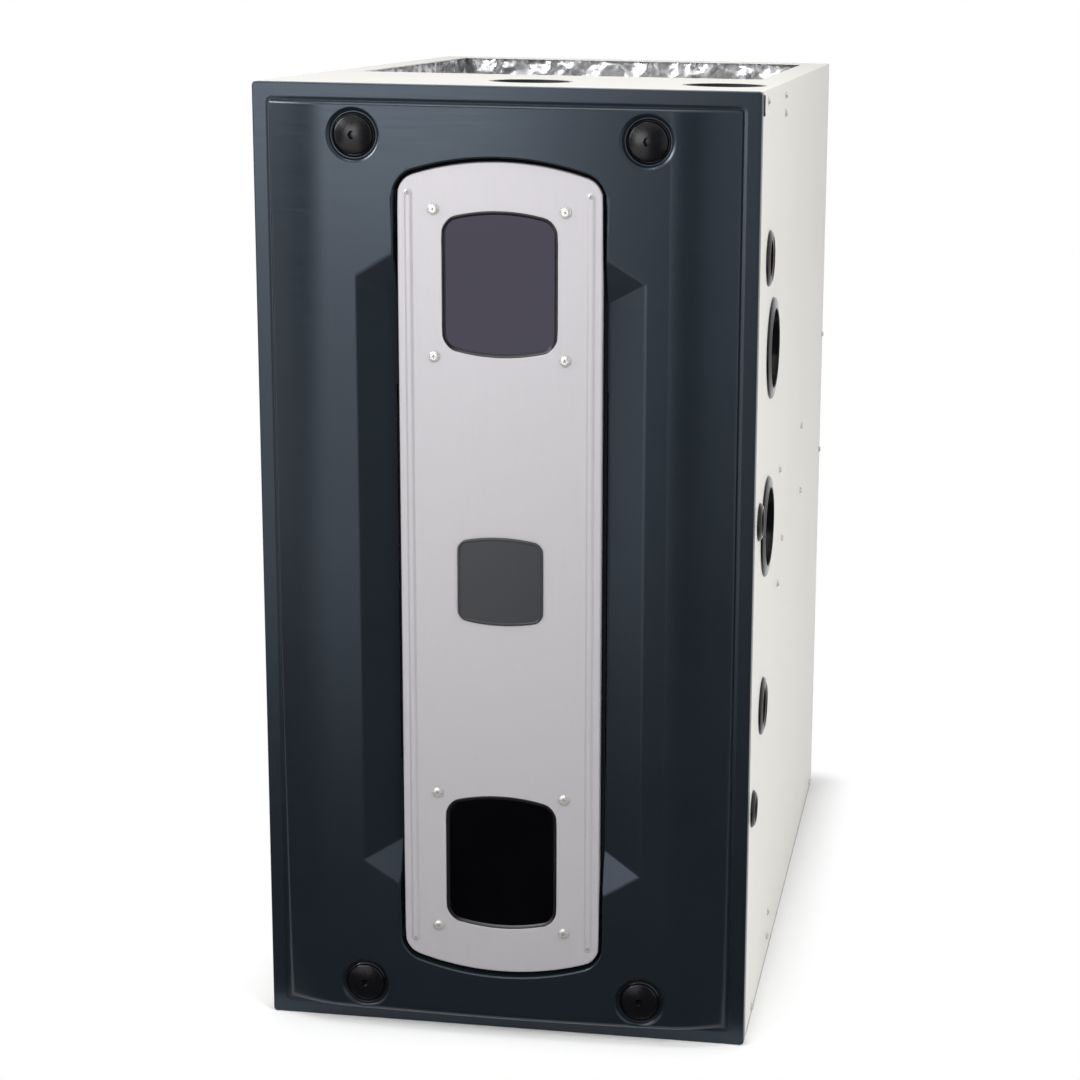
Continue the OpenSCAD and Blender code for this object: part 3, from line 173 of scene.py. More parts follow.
@dataclass(frozen=True)
class Finish:
    """A surface's material: what it is made of, its colours and its grains."""

    name: str
    colour: str
    roughness: float
    metallic: float = 0.0
    specular: float = 0.5
    sheen: str = "#ffffff"
    shade: str = ""
    grains: tuple[Grain, ...] = ()

    def material(self) -> bpy.types.Material:
        """Returns the material, made on its first use."""
        ready = bpy.data.materials.get(self.name)
        if ready:
            return ready
        made = bpy.data.materials.new(self.name)
        tree = blank_tree(made)
        base, other = linear(self.colour), linear(self.shade or self.colour)
        surface = add_node(tree, "ShaderNodeBsdfPrincipled", {
            "Base Color": base, "Roughness": self.roughness, "Metallic": self.metallic,
            "Specular IOR Level": self.specular, "Specular Tint": linear(self.sheen)})
        ends: dict[str, NodeSocket] = {}
        for grain in self.grains:
            fac = grain.factor(tree)
            if grain.tint:
                ends["Base Color"] = add_node(tree, "ShaderNodeMixRGB", {
                    "Fac": grain.between(tree, fac, 0.0, grain.tint), "Color1": ends.get("Base Color", base),
                    "Color2": other}).outputs["Color"]
            if grain.gloss:
                ends["Roughness"] = grain.between(tree, fac, self.roughness - grain.gloss, self.roughness + grain.gloss)
            if grain.depth:
                inputs = {"Height": fac, "Strength": 1.0, "Distance": grain.depth * MM}
                if "Normal" in ends:
                    inputs["Normal"] = ends["Normal"]
                ends["Normal"] = add_node(tree, "ShaderNodeBump", inputs).outputs["Normal"]
        for socket, end in ends.items():
            tree.links.new(end, surface.inputs[socket])
        add_node(tree, "ShaderNodeOutputMaterial", {"Surface": surface.outputs["BSDF"]})
        return made


PEEL = Grain(7.0, depth=0.02)
SPANGLE = Grain(11.0, Pattern.CELLS, tint=0.5, gloss=0.09)
DRAWN = Grain(1.2, stretch=(40.0, 1.0, 1.0), tint=0.25, gloss=0.06, depth=0.01)

# Each finish by the material slot that it fills.
FINISHES: dict[str, Finish] = {
    # Baked enamel on sheet steel: an even satin off-white with a faint orange peel.
    "casing_paint": Finish("baked_enamel_off_white", "#dfddd7", 0.42, specular=0.4, shade="#d3d1ca",
                           grains=(Grain(180.0, tint=0.25), PEEL)),
    # Hot-dip galvanised sheet: grey flakes of spangle, each with its own sheen.
    "galvanised_sheet": Finish("galvanised_steel", "#a9adb0", 0.42, metallic=0.85, shade="#8b9094", grains=(SPANGLE,)),
    # Satin-painted moulding: dark blue-grey, with fine cross lines that show where light grazes it.
    "door_grey": Finish("satin_painted_abs", "#10161b", 0.32, specular=0.5, sheen="#dbeaff", shade="#141b20",
                        grains=(Grain(90.0, tint=0.5),
                                Grain(1.6, stretch=(30.0, 30.0, 1.0), gloss=0.03, depth=0.006))),
    # Closed-cell foam: dull black with open pores. It also colours the ring that paints the shade in the gap round the
    # strip.
    "foam_gasket": Finish("closed_cell_foam", "#0e0e10", 0.95, specular=0.1, shade="#161618",
                          grains=(Grain(1.5, tint=0.8, depth=0.3),)),
    # Silver satin paint on an aluminium strip: very fine upright lines.
    "bright_strip": Finish("satin_silver_aluminium", "#aaa7ab", 0.46, metallic=0.35, specular=0.5, shade="#a3a0a4",
                           grains=(Grain(0.8, stretch=(1.0, 1.0, 60.0), tint=0.2, gloss=0.04, depth=0.004),)),
    # Smoked acrylic pane: nearly black and very glossy, with a faint violet gloss.
    "smoked_window": Finish("smoked_acrylic", "#030304", 0.06, specular=0.7, sheen="#e6dfff", shade="#070609",
                            grains=(Grain(60.0, tint=0.6),)),
    # Injection-moulded trim: plain gloss black.
    "dark_trim": Finish("gloss_black_abs", "#141417", 0.22, shade="#1b1b1f",
                        grains=(Grain(5.0, tint=0.5, gloss=0.03),)),
    # Bare badge plate: dark grey satin moulding.
    "badge_grey": Finish("satin_grey_polycarbonate", "#26272b", 0.42, shade="#222327",
                         grains=(Grain(0.8, tint=0.4, depth=0.01),)),
    # Glass-filled nylon knob: dark, with a fine spark texture.
    "knob_plastic": Finish("black_nylon", "#0a090c", 0.25, specular=0.26, shade="#121115",
                           grains=(Grain(0.7, tint=0.4, gloss=0.05, depth=0.02),)),
    # Zinc-plated screw heads: bright, a little blotchy.
    "zinc_screw": Finish("zinc_plated_steel", "#cfcecc", 0.28, metallic=0.6, shade="#b4b2ad",
                         grains=(Grain(2.5, tint=0.6, gloss=0.08),)),
    # Vent plugs and grommets: gloss black polyethylene with a soft mould texture.
    "plug_black": Finish("gloss_black_polyethylene", "#0b0b0d", 0.2, specular=0.32, shade="#111113",
                         grains=(Grain(3.0, tint=0.5, gloss=0.05, depth=0.02),)),
    # Foil facing on glass-fibre: bright, crinkled into small facets.
    "foil": Finish("aluminium_foil", "#cfcfd2", 0.32, metallic=0.9, shade="#a8a9ad",
                   grains=(Grain(14.0, tint=0.6, gloss=0.1), Grain(7.0, Pattern.CREASES, depth=0.9))),
    # Extruded PVC pipe: white, faint draw lines.
    "pvc_pipe": Finish("white_pvc", "#dcdbd5", 0.34, shade="#d2d1ca", grains=(Grain(30.0, tint=0.5, gloss=0.04),)),
    # Moulded rubber sockets: dull black.
    "socket_rubber": Finish("moulded_epdm", "#1d1d1f", 0.72, specular=0.3, shade="#262628",
                            grains=(Grain(2.0, tint=0.6, depth=0.04),)),
    # Aluminised steel: dull silver with heat-brown clouds.
    "aluminised_steel": Finish("aluminised_steel", "#8e8b84", 0.48, metallic=0.9, shade="#6f665a",
                               grains=(Grain(45.0, tint=0.6, gloss=0.08), DRAWN)),
    # Thin aluminium fins: clean rolled sheet.
    "coil_aluminium": Finish("rolled_aluminium", "#b9bbbd", 0.36, metallic=1.0, shade="#a2a4a7", grains=(DRAWN,)),
    # Glass-filled mouldings: charcoal with a coarse matt grain.
    "dark_moulding": Finish("glass_filled_nylon", "#202124", 0.55, specular=0.4, shade="#2a2b2e",
                            grains=(Grain(1.2, tint=0.5, depth=0.04),)),
    # Die-cast aluminium: grey with a soft pitted skin.
    "cast_aluminium": Finish("die_cast_aluminium", "#8f9296", 0.5, metallic=0.9, shade="#7b7e82",
                             grains=(Grain(2.5, tint=0.5, gloss=0.06, depth=0.05),)),
    # Black iron gas pipe: oily mill scale.
    "black_pipe": Finish("black_iron", "#3a3a3c", 0.46, metallic=0.6, shade="#2c2b2b",
                         grains=(Grain(8.0, tint=0.7, gloss=0.1, depth=0.06),)),
    # Fired steatite ceramic: chalky white.
    "ceramic": Finish("steatite_ceramic", "#ddd8cb", 0.75, specular=0.3, shade="#cfc8b8",
                      grains=(Grain(1.0, tint=0.5, depth=0.02),)),
    # Stove enamel on motor shells: dark grey, slightly wavy.
    "motor_enamel": Finish("stoved_enamel_grey", "#2b2c2e", 0.38, shade="#343537",
                           grains=(Grain(20.0, tint=0.4), PEEL)),
    # Solder-masked glass-epoxy board: green with darker copper areas under the mask.
    "board_green": Finish("solder_masked_epoxy", "#1d5233", 0.34, shade="#12381f",
                          grains=(Grain(9.0, Pattern.CELLS, tint=0.6, gloss=0.04),)),
    # Natural polypropylene: milky grey.
    "trap_plastic": Finish("natural_polypropylene", "#c9cac5", 0.5, shade="#bbbcb6",
                           grains=(Grain(25.0, tint=0.6, depth=0.05),)),
    # Urea switch body: plain white.
    "switch_plastic": Finish("urea_white", "#e0ddd3", 0.32, shade="#d4d1c6", grains=(Grain(12.0, tint=0.4),)),
    # Red nylon button.
    "button_red": Finish("red_nylon", "#a3201a", 0.35, shade="#8e1a15", grains=(Grain(1.5, tint=0.5, depth=0.01),)),
    # Ground steel shaft: bright with lathe lines round it.
    "shaft_steel": Finish("ground_steel", "#8d9094", 0.26, metallic=1.0, shade="#75787c", grains=(DRAWN,)),
}


# ---------------------------------------------------------------- outlines and reliefs

def rect_inside(x: Grid, z: Grid, half_w: float, half_h: float, corner: float) -> Grid:
    """Distance inside a rectangle with round corners, centred on 0, 0; it is negative outside."""
    side, end = half_w - np.abs(x), half_h - np.abs(z)
    return _rounded(side, end, corner)


def barrel_inside(x: Grid, z: Grid, width: float, height: float, end_r: float, corner: float) -> Grid:
    """Distance inside a barrel outline: straight sides, crowned ends and round corners."""
    side = width / 2 - np.abs(x)
    end = end_r - np.hypot(x, np.maximum(np.abs(z) - (height / 2 - end_r), 0))
    return _rounded(side, end, corner)


def _rounded(side: Grid, end: Grid, corner: float) -> Grid:
    """Joins the distances to two edges with a round corner."""
    away = np.hypot(np.maximum(corner - side, 0), np.maximum(corner - end, 0))
    return corner - away + np.maximum(np.minimum(side, end) - corner, 0)


def round_over(inside: Grid, radius: float) -> Grid:
    """How far a rounded edge falls below its face, at a distance inside the edge."""
    t = np.clip(radius - inside, 0, radius)
    return radius - np.sqrt(np.maximum(radius * radius - t * t, 0))


def soft_min(a: Grid, b: Grid, blend: float) -> Grid:
    """The lower of two heights, with the crease between them rounded off."""
    t = np.clip(0.5 + 0.5 * (b - a) / blend, 0, 1)
    return b + (a - b) * t - blend * t * (1 - t)


def spread(start: float, end: float, step: float) -> list[float]:
    """Evenly spaced values from start to end, no further apart than step."""
    count = max(1, math.ceil(abs(end - start) / step))
    return [start + (end - start) * i / count for i in range(count + 1)]


def arc(cx: float, cz: float, radius: float, start: float, end: float, count: int) -> Loop:
    """Points on an arc, with its angles in degrees."""
    turns = [math.radians(start + (end - start) * i / count) for i in range(count + 1)]
    return [(cx + radius * math.cos(t), cz + radius * math.sin(t)) for t in turns]


def mirrored(quarter: Loop) -> Loop:
    """A whole loop from its first quarter, which runs from +X round to +Z."""
    flip = [(-x, z) for x, z in reversed(quarter)]
    return quarter + flip + [(-x, -z) for x, z in quarter] + [(-x, -z) for x, z in flip]


def thin_out(loop: Loop, gap: float = 0.02) -> Loop:
    """The loop without points that lie on the one before."""
    kept: Loop = []
    for point in loop:
        if not kept or math.dist(point, kept[-1]) > gap:
            kept.append(point)
    if math.dist(kept[0], kept[-1]) <= gap:
        kept.pop()
    return kept


def rect_loop(half_w: float, half_h: float, corner: float, step: float) -> Loop:
    """A round-cornered rectangle's outline."""
    side = [(half_w, z) for z in spread(0, half_h - corner, step)]
    turn = arc(half_w - corner, half_h - corner, corner, 0, 90, 8)
    top = [(x, half_h) for x in spread(half_w - corner, 0, step)]
    return thin_out(mirrored(side + turn + top))


def barrel_loop(width: float, height: float, end_r: float, corner: float, step: float) -> Loop:
    """A barrel's outline."""
    dx = width / 2 - corner
    dz = math.sqrt((end_r - corner) ** 2 - dx * dx)
    cz = height / 2 - end_r
    lean = math.degrees(math.atan2(dz, dx))
    side = [(width / 2, z) for z in spread(0, cz + dz, step)]
    turn = arc(dx, cz + dz, corner, 0, lean, 10)
    crown = arc(0, cz, end_r, lean, 90, max(4, math.ceil(math.radians(90 - lean) * end_r / 5)))
    return thin_out(mirrored(side + turn + crown))


def level_loop(loop: Loop, inside: Height, level: float) -> Loop:
    """Moves an outline's points to where the distance inside it is the given level."""
    p = np.array(loop, float)
    eps = 1e-3
    for _ in range(12):
        d = inside(p[:, 0], p[:, 1]) - level
        gx = (inside(p[:, 0] + eps, p[:, 1]) - inside(p[:, 0] - eps, p[:, 1])) / (2 * eps)
        gz = (inside(p[:, 0], p[:, 1] + eps) - inside(p[:, 0], p[:, 1] - eps)) / (2 * eps)
        size = np.maximum(gx * gx + gz * gz, 0.05)
        p -= np.stack([gx * d / size, gz * d / size], axis=1)
    return [(float(x), float(z)) for x, z in p]


def shifted(loop: Iterable[Two], dx: float, dz: float) -> Loop:
    """The loop moved sideways and up."""
    return [(x + dx, z + dz) for x, z in loop]


def lifted(rule: Height) -> Height:
    """A rule about the door's middle, for heights from the floor."""
    return lambda x, z: rule(x, z - MID_Z)


def plain_mesh(name: str, verts: Sequence, faces: Sequence, sharp: float = 0.0) -> Mesh:
    """Makes a mesh of its vertices and faces.

    Args:
        name: The mesh's name.
        verts: Vertices, in metres.
        faces: Vertex numbers of each face.
        sharp: Angle in degrees past which an edge stays crisp, or 0 to leave the shading flat.
    Returns:
        The mesh.
    """
    made = bpy.data.meshes.new(name)
    made.from_pydata(verts, [], faces)
    if sharp:
        smooth(made, sharp)
    return made


@dataclass
class Relief:
    """A sheet drawn in X and Z and raised towards the viewer by a height, with an edge wherever one of its lines runs.

    height gives mm in front of base_y, and keep tells which places belong to the sheet.
    """

    height: Height
    keep: Height
    base_y: float = RIM_Y
    longest: float = 14.0
    points: list[Two] = field(default_factory=list)
    edges: list[tuple[int, int]] = field(default_factory=list)

    def line(self, points: Loop, closed: bool = True) -> None:
        """Adds a line that the mesh's edges follow, with extra points wherever two lie far apart."""
        ends = points[1:] + points[:1] if closed else points[1:]
        dense: Loop = []
        for a, b in zip(points, ends):
            parts = max(1, math.ceil(math.dist(a, b) / self.longest))
            dense += [(a[0] + (b[0] - a[0]) * i / parts, a[1] + (b[1] - a[1]) * i / parts) for i in range(parts)]
        if not closed:
            dense.append(points[-1])
        first, count = len(self.points), len(dense)
        self.points += dense
        self.edges += [(first + i, first + (i + 1) % count) for i in range(count if closed else count - 1)]

    def levels(self, loop: Loop, inside: Height, levels: Sequence[float], dx: float = 0, dz: float = 0) -> None:
        """Adds one line for each level of an outline's distance field."""
        for level in levels:
            self.line(shifted(level_loop(loop, inside, level), dx, dz))

    def mesh(self, name: str, extra: Callable[[list, list], None] | None = None) -> Mesh:
        """Triangulates the sheet and gives each corner the true normal of the raised surface.

        Args:
            name: The mesh's name.
            extra: Adds further vertices and faces, such as a turned-back edge, to the lists it is given.
        Returns:
            The mesh, in metres.
        """
        found = delaunay_2d_cdt([Vector(p) for p in self.points], self.edges, [], 0, 1e-4, False)
        flat = np.array([tuple(v) for v in found[0]], float)
        tris = np.array([f for f in found[2] if len(f) == 3], int)
        centre = flat[tris].mean(axis=1)
        kept = self.keep(centre[:, 0], centre[:, 1])
        tris, centre = tris[kept], centre[kept]
        # A corner's normal is the slope just inside its own face, so that a crease stays crisp. Both are in mm.
        pull, eps = 0.08, 0.002
        corner = flat[tris]
        gap = centre[:, None, :] - corner
        near = corner + gap * np.minimum(1, pull / np.maximum(np.linalg.norm(gap, axis=2, keepdims=True), 1e-6))
        x, z = near[..., 0].ravel(), near[..., 1].ravel()
        slope_x = (self.height(x + eps, z) - self.height(x - eps, z)) / (2 * eps)
        slope_z = (self.height(x, z + eps) - self.height(x, z - eps)) / (2 * eps)
        normals = np.stack([-slope_x, -np.ones_like(x), -slope_z], axis=1)
        normals /= np.linalg.norm(normals, axis=1, keepdims=True)
        used, tris = np.unique(tris, return_inverse=True)
        faces = tris.reshape(-1, 3).tolist()
        flat = flat[used]
        rise = self.height(flat[:, 0], flat[:, 1])
        verts = [(px * MM, (self.base_y - h) * MM, pz * MM) for (px, pz), h in zip(flat.tolist(), rise.tolist())]
        count = len(faces)
        if extra:
            extra(verts, faces)
        made = plain_mesh(name, verts, faces)
        corners = [tuple(n) for n in normals.tolist()]
        for poly in made.polygons[count:]:
            corners += [tuple(poly.normal)] * poly.loop_total
        made.polygons.foreach_set("use_smooth", [True] * len(faces))
        made.normals_split_custom_set(corners)
        made.update()
        return made


def sweep_loop(verts: list, faces: list, loop: Loop, profile: Sequence[Two], inside: Height,
               base_y: float = RIM_Y, up: float = 0.0) -> None:
    """Adds a wall that follows a loop.

    Args:
        verts: The mesh's vertices so far, which grow.
        faces: The mesh's faces so far, which grow.
        loop: The outline.
        profile: An inset and a height in front of base_y, in mm, for each step.
        inside: Distance inside the outline.
        base_y: Where heights are counted from, along Y.
        up: How far the whole wall is lifted.
    """
    first, count = len(verts), len(loop)
    for inset, height in profile:
        verts += [(x * MM, (base_y - height) * MM, z * MM + up * MM) for x, z in level_loop(loop, inside, inset)]
    for a in range(first, len(verts) - count, count):
        b = a + count
        faces += [[a + i, b + i, b + (i + 1) % count, a + (i + 1) % count] for i in range(count)]


def ring_shape(turn: float, sides: int) -> float:
    """Share of a ring's radius at an angle, for a polygon, or for a cross where sides is negative."""
    part = math.tau / abs(sides)
    off = abs((turn + part / 2) % part - part / 2)
    if sides > 0:
        return math.cos(part / 2) / math.cos(part / 2 - off)
    return 1.0 if off < part * 0.2 else 0.42


def turned(name: str, profile: Sequence[Two], segments: int = 48, sharp: float = 32.0) -> Mesh:
    """Turns a profile round the Z axis into a mesh, like work on a lathe.

    Args:
        name: The mesh's name.
        profile: Radius and height in mm, from the outside in. A third number makes that ring a polygon with so many
            sides, or a cross with so many arms where it is negative.
        segments: Faces round the axis.
        sharp: Angle in degrees past which an edge stays crisp.
    Returns:
        The mesh, in metres.
    """
    verts, faces, rings = [], [], []
    for radius, height, *sides in profile:
        first = len(verts)
        if radius <= 1e-6:
            verts.append((0, 0, height * MM))
            rings.append([first] * segments)
            continue
        for i in range(segments):
            t = 2 * math.pi * i / segments
            r = radius * (ring_shape(t, sides[0]) if sides else 1.0)
            verts.append((r * math.cos(t) * MM, r * math.sin(t) * MM, height * MM))
        rings.append(list(range(first, first + segments)))
    for low, high in zip(rings, rings[1:]):
        for i in range(segments):
            j = (i + 1) % segments
            ring = [low[i], low[j], high[j], high[i]]
            faces.append(list(dict.fromkeys(ring)))
    return plain_mesh(name, verts, [f for f in faces if len(f) > 2], sharp)


def smooth(mesh: Mesh, sharp: float = 32.0) -> None:
    """Shades a mesh smooth, with crisp edges past an angle in degrees."""
    mesh.polygons.foreach_set("use_smooth", [True] * len(mesh.polygons))
    mesh.set_sharp_from_angle(angle=math.radians(sharp))
    mesh.update()


# ---------------------------------------------------------------- pieces

class Body(Enum):
    """The frame's bodies that pieces ride on."""

    CABINET = "cabinet"
    DOOR = "door"
    KNOB_TOP_LEFT = "knob_top_left"
    KNOB_TOP_RIGHT = "knob_top_right"
    KNOB_BOTTOM_LEFT = "knob_bottom_left"
    KNOB_BOTTOM_RIGHT = "knob_bottom_right"


def place(name: str, mesh: Mesh, body: Body, slot: str, *nodes: str, finish: str = "") -> None:
    """Puts a finished mesh in the scene and hands it to the frame.

    Args:
        name: The piece's name.
        mesh: The mesh, which has its place in it.
        body: The body that it rides on.
        slot: The material slot whose finish it gets.
        nodes: The CAD nodes that it stands for.
        finish: Another slot whose finish it gets instead, where one is given.
    """
    mesh.materials.clear()
    mesh.materials.append(FINISHES[finish or slot].material())
    piece = linked(name, mesh)
    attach(piece, body.value)
    if nodes:
        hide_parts(*nodes)
    LOG.info("%s on %s, %d faces", name, body.value, len(mesh.polygons))


def aim(direction: Three, at: Three) -> Matrix:
    """The transform that stands a +Z piece along a direction at a point in mm."""
    turn = Vector(direction).to_track_quat("Z", "Y").to_matrix().to_4x4()
    return Matrix.Translation(Vector(at) * MM) @ turn


@dataclass
class DoorSkin:
    """The moulded door: flat rim, groove, swelling field with rolled sides, strip recess, handle pockets and dishes."""

    corner: float = 3.0
    edge_r: float = 1.4
    rim: float = 11.5
    groove: float = 3.5
    groove_depth: float = 0.5
    field_corner: float = 3.0
    field_edge_r: Two = (2.6, 7.5)
    lip_rise: float = 3.0
    roll_rise: float = 16.5
    crown_rise: float = 20.0
    roll_w: float = 60.0
    recess_half: float = 93.5
    recess_h: float = 745.0
    recess_end_r: float = 253.5
    recess_corner: float = 16.0
    recess_floor: float = 13.0
    gap_w: float = 3.3
    gap_floor: float = 4.0
    # Height of the black foam ring that paints the shade in the gap round the strip.
    shade_ring_rise: float = 2.5
    recess_lip: float = 1.6
    pocket_in: float = 91.0
    pocket_out: float = 127.4
    pocket_half: float = 268.0
    pocket_slant: float = 18.0
    pocket_floor_half: float = 247.0
    pocket_floor: float = 6.0
    slot: Two = (3.0, 172.0)
    knob: Two = (128.0, 389.0)
    dish: Three = (20.6, 1.7, 4.0)
    dish_lip: Two = (23.8, 0.7)
    sight_size: Four = (84.0, 109.0, 165.0, 12.0)
    step: float = 0.3
    foot: float = 0.4
    depth: float = 12.0
    wall: float = 2.5

    @property
    def field_half(self) -> float:
        """Half the width of the raised field."""
        return CAB_W / 2 - self.rim - self.groove

    def outline(self, x: Grid, z: Grid) -> Grid:
        """Distance inside the door's outline."""
        return rect_inside(x, z, CAB_W / 2, CAB_H / 2, self.corner)

    def field(self, x: Grid, z: Grid) -> Grid:
        """Distance inside the raised field."""
        return rect_inside(x, z, self.field_half, CAB_H / 2 - self.rim - self.groove, self.field_corner)

    def recess(self, x: Grid, z: Grid) -> Grid:
        """Distance inside the recess round the bright strip."""
        return barrel_inside(x, z, 2 * self.recess_half, self.recess_h, self.recess_end_r, self.recess_corner)

    def recess_loop(self) -> Loop:
        """Outline of the recess round the bright strip."""
        return barrel_loop(2 * self.recess_half, self.recess_h, self.recess_end_r, self.recess_corner, 40)

    def sight(self, x: Grid, z: Grid) -> Grid:
        """Distance inside the nearer sight opening."""
        return barrel_inside(x, np.abs(z) - WINDOW_Z, *self.sight_size)

    def rise(self, x: Grid) -> Grid:
        """How far the field stands in front of the rim, across the door."""
        u, flat = np.abs(x), self.field_half - self.roll_w
        roll = np.sin(np.pi / 2 * np.clip((self.field_half - u) / self.roll_w, 0, 1))
        crown = np.cos(np.pi / 2 * np.clip(u / flat, 0, 1))
        return np.where(u > flat, self.lip_rise + (self.roll_rise - self.lip_rise) * roll,
                        self.roll_rise + (self.crown_rise - self.roll_rise) * crown)

    def pocket(self, x: Grid, z: Grid) -> Grid:
        """Height of a handle pocket's three facets."""
        u, v = np.abs(x) - self.pocket_in, np.abs(z) - self.pocket_floor_half
        width = self.pocket_out - self.pocket_in
        climb = float(self.rise(np.array(self.pocket_out))) - self.pocket_floor
        face = self.pocket_floor + u * climb / width
        up = climb / (self.pocket_half + self.pocket_slant - self.pocket_floor_half)
        end = self.pocket_floor + v * up + u * up * self.pocket_slant / width
        return -soft_min(-face, -end, 0.35)

    def height(self, x: Grid, z: Grid) -> Grid:
        """Height of the whole skin in front of the rim's plane; z is from the middle of the door."""
        u = np.abs(x)
        inside, recess = self.field(x, z), self.recess(x, z)
        tight, soft = self.field_edge_r
        edge_r = tight + (soft - tight) * np.clip(-z / 360 - 0.12, 0, 1)
        face = self.rise(x) - np.minimum(round_over(inside - self.foot, edge_r), self.rise(x) * 0.8)
        r = np.hypot(u - self.knob[0], np.abs(z) - self.knob[1])
        floor_r, wall, deep = self.dish
        floor = float(self.rise(np.array(self.knob[0]))) - deep
        dish = -soft_min(-floor - 0 * r, -(floor + (r - floor_r) * deep / wall), 0.8)
        lip_r, lean = self.dish_lip
        near = np.clip((lip_r + 1.2 - r) / 0.6, 0, 1)
        lip = soft_min(soft_min(face, face + (r - lip_r) * lean, 0.3), dish, 0.8)
        face = face + (lip - face) * near
        lip = face - round_over(np.maximum(-recess, 0), self.recess_lip)
        wall = np.clip(recess / self.step, 0, 1)
        step = np.clip((recess - self.gap_w) / self.step, 0, 1)
        sunk = lip + (self.gap_floor - lip) * wall + (self.recess_floor - self.gap_floor) * step
        face = np.where(recess > 0, sunk, lip)
        pocket = soft_min(face, self.pocket(x, z), 0.6)
        step = np.clip((u - self.pocket_in) / self.step, 0, 1)
        face = face + (pocket - face) * step
        ramp = np.clip(inside / self.foot, 0, 1)
        low = -self.groove_depth * (0.5 + 0.5 * np.cos(np.pi * np.clip(-inside / self.groove, 0, 1)))
        low = low - round_over(self.outline(x, z), self.edge_r)
        return np.where(inside <= 0, low, low * (1 - ramp) + face * ramp)

    def keep(self, x: Grid, z: Grid) -> Grid:
        """Whether a place belongs to the skin."""
        width, half = self.slot
        in_slot = (np.abs(np.abs(x) - self.pocket_in - self.step - width / 2) < width / 2) & (np.abs(z) < half)
        return (self.outline(x, z) > -0.001) & (self.sight(x, z) < 0) & ~in_slot

    def draw(self, relief: Relief) -> None:
        """Adds the lines of every feature."""
        top = CAB_H / 2 - self.rim - self.groove
        relief.levels(rect_loop(CAB_W / 2, CAB_H / 2, self.corner, 80), self.outline, (0, 0.12, 0.35, 0.7, 1.05, 1.4))
        relief.levels(rect_loop(self.field_half, top, self.field_corner, 12), self.field,
                      (-3.5, -3.1, -2.5, -1.75, -1.0, -0.4, 0, 0.4, 0.52, 0.8, 1.2, 1.8, 2.4, 3.1, 4.0, 5.2, 6.6, 8.0))
        relief.levels(self.recess_loop(), self.recess,
                      (-1.6, -1.2, -0.8, -0.4, -0.15, 0, self.step, self.gap_w, self.gap_w + self.step))
        # Upright lines stop and start just past the last line of the field's rolled edge.
        past = 8.4
        top -= past
        ups = [self.field_half - x for x in spread(past, self.roll_w, 2.6)]
        ups += spread(self.field_half - self.roll_w, 96, 6)[1:]
        ups += [self.pocket_out + d for d in (-2.0, -1.5, -1.0, -0.5, 0, 0.5, 1.0, 1.5, 2.0)]
        for u in ups:
            for side in BOTH:
                relief.line([(side * u, z) for z in spread(-top, top, 90)], False)
        for x in spread(-88, 88, 7):
            for side in BOTH:
                relief.line([(x, side * 340), (x, side * top)], False)
        for side in BOTH:
            for x in (self.pocket_in, self.pocket_in + self.step):
                relief.line([(side * x, -330), (side * x, 330)], False)
            for end in BOTH:
                self._pocket_end(relief, side, end)
                for r in (19.8, 20.2, 20.6, 21.0, 21.5, 21.9, 22.2, 22.6, 23.2, 23.8, 24.2, 24.5, 25.0, 25.6):
                    relief.line(shifted(arc(0, 0, r, 0, 352.5, 47), side * self.knob[0], end * self.knob[1]))
        for end in BOTH:
            relief.levels(barrel_loop(*self.sight_size, 12), lambda x, z: barrel_inside(x, z, *self.sight_size), (0,),
                          0, end * WINDOW_Z)
        width, half = self.slot
        hole = [(width / 2, -half), (width / 2, half), (-width / 2, half), (-width / 2, -half)]
        for side in BOTH:
            relief.line(shifted(hole, side * (self.pocket_in + self.step + width / 2), 0))

    def _pocket_end(self, relief: Relief, side: int, end: int) -> None:
        """Adds the creases at one end of one handle pocket."""
        over = (0, 0.5, 1.0, 1.6, 2.3, 3.4, 5.5)
        width = self.pocket_out - self.pocket_in
        near, rise = self.pocket_in + self.step, self.pocket_half - self.pocket_floor_half
        for shift in sorted({s * o for s in BOTH for o in over}):
            relief.line([
                (side * u, end * (self.pocket_half + self.pocket_slant * (self.pocket_out - u) / width + shift))
                for u in spread(near, self.pocket_out + 1, 2)], False)
            relief.line([
                (side * u, end * (self.pocket_floor_half + rise * (u - self.pocket_in) / width + shift))
                for u in spread(near, self.pocket_out, 4)], False)

    def build(self) -> None:
        """Makes the skin, its turned-back edge, and a black foam ring in the gap round the strip that paints the shade
        in that gap.
        """
        relief = Relief(lifted(self.height), lifted(self.keep))
        self.draw(relief)
        relief.points = shifted(relief.points, 0, MID_Z)
        place("door_skin", relief.mesh("door_skin"), Body.DOOR, "door_grey", "door_panel")
        profile = ((0, -self.edge_r), (0, 0.4 - self.depth), (0.4, -self.depth), (self.wall, -self.depth),
                   (self.wall, -7.2))
        self._band("door_edge", rect_loop(CAB_W / 2, CAB_H / 2, self.corner, 200), profile, self.outline, "door_grey")
        # Painted shade: a black foam ring on the floor of the gap round the strip, so that the gap reads dark.
        near, far, low, top = 0.4, self.gap_w - 0.2, self.gap_floor + 0.1, self.gap_floor + self.shade_ring_rise
        profile = ((far, top), (near, top), (near, low), (far, low), (far, top))
        self._band("strip_gap_seal", self.recess_loop(), profile, self.recess, "foam_gasket")

    @staticmethod
    def _band(name: str, loop: Loop, profile: Sequence[Two], inside: Height, slot: str) -> None:
        """Makes a band that follows a loop on the door."""
        verts, faces = [], []
        sweep_loop(verts, faces, loop, profile, inside, up=MID_Z)
        place(name, plain_mesh(name, verts, faces, 40), Body.DOOR, slot)


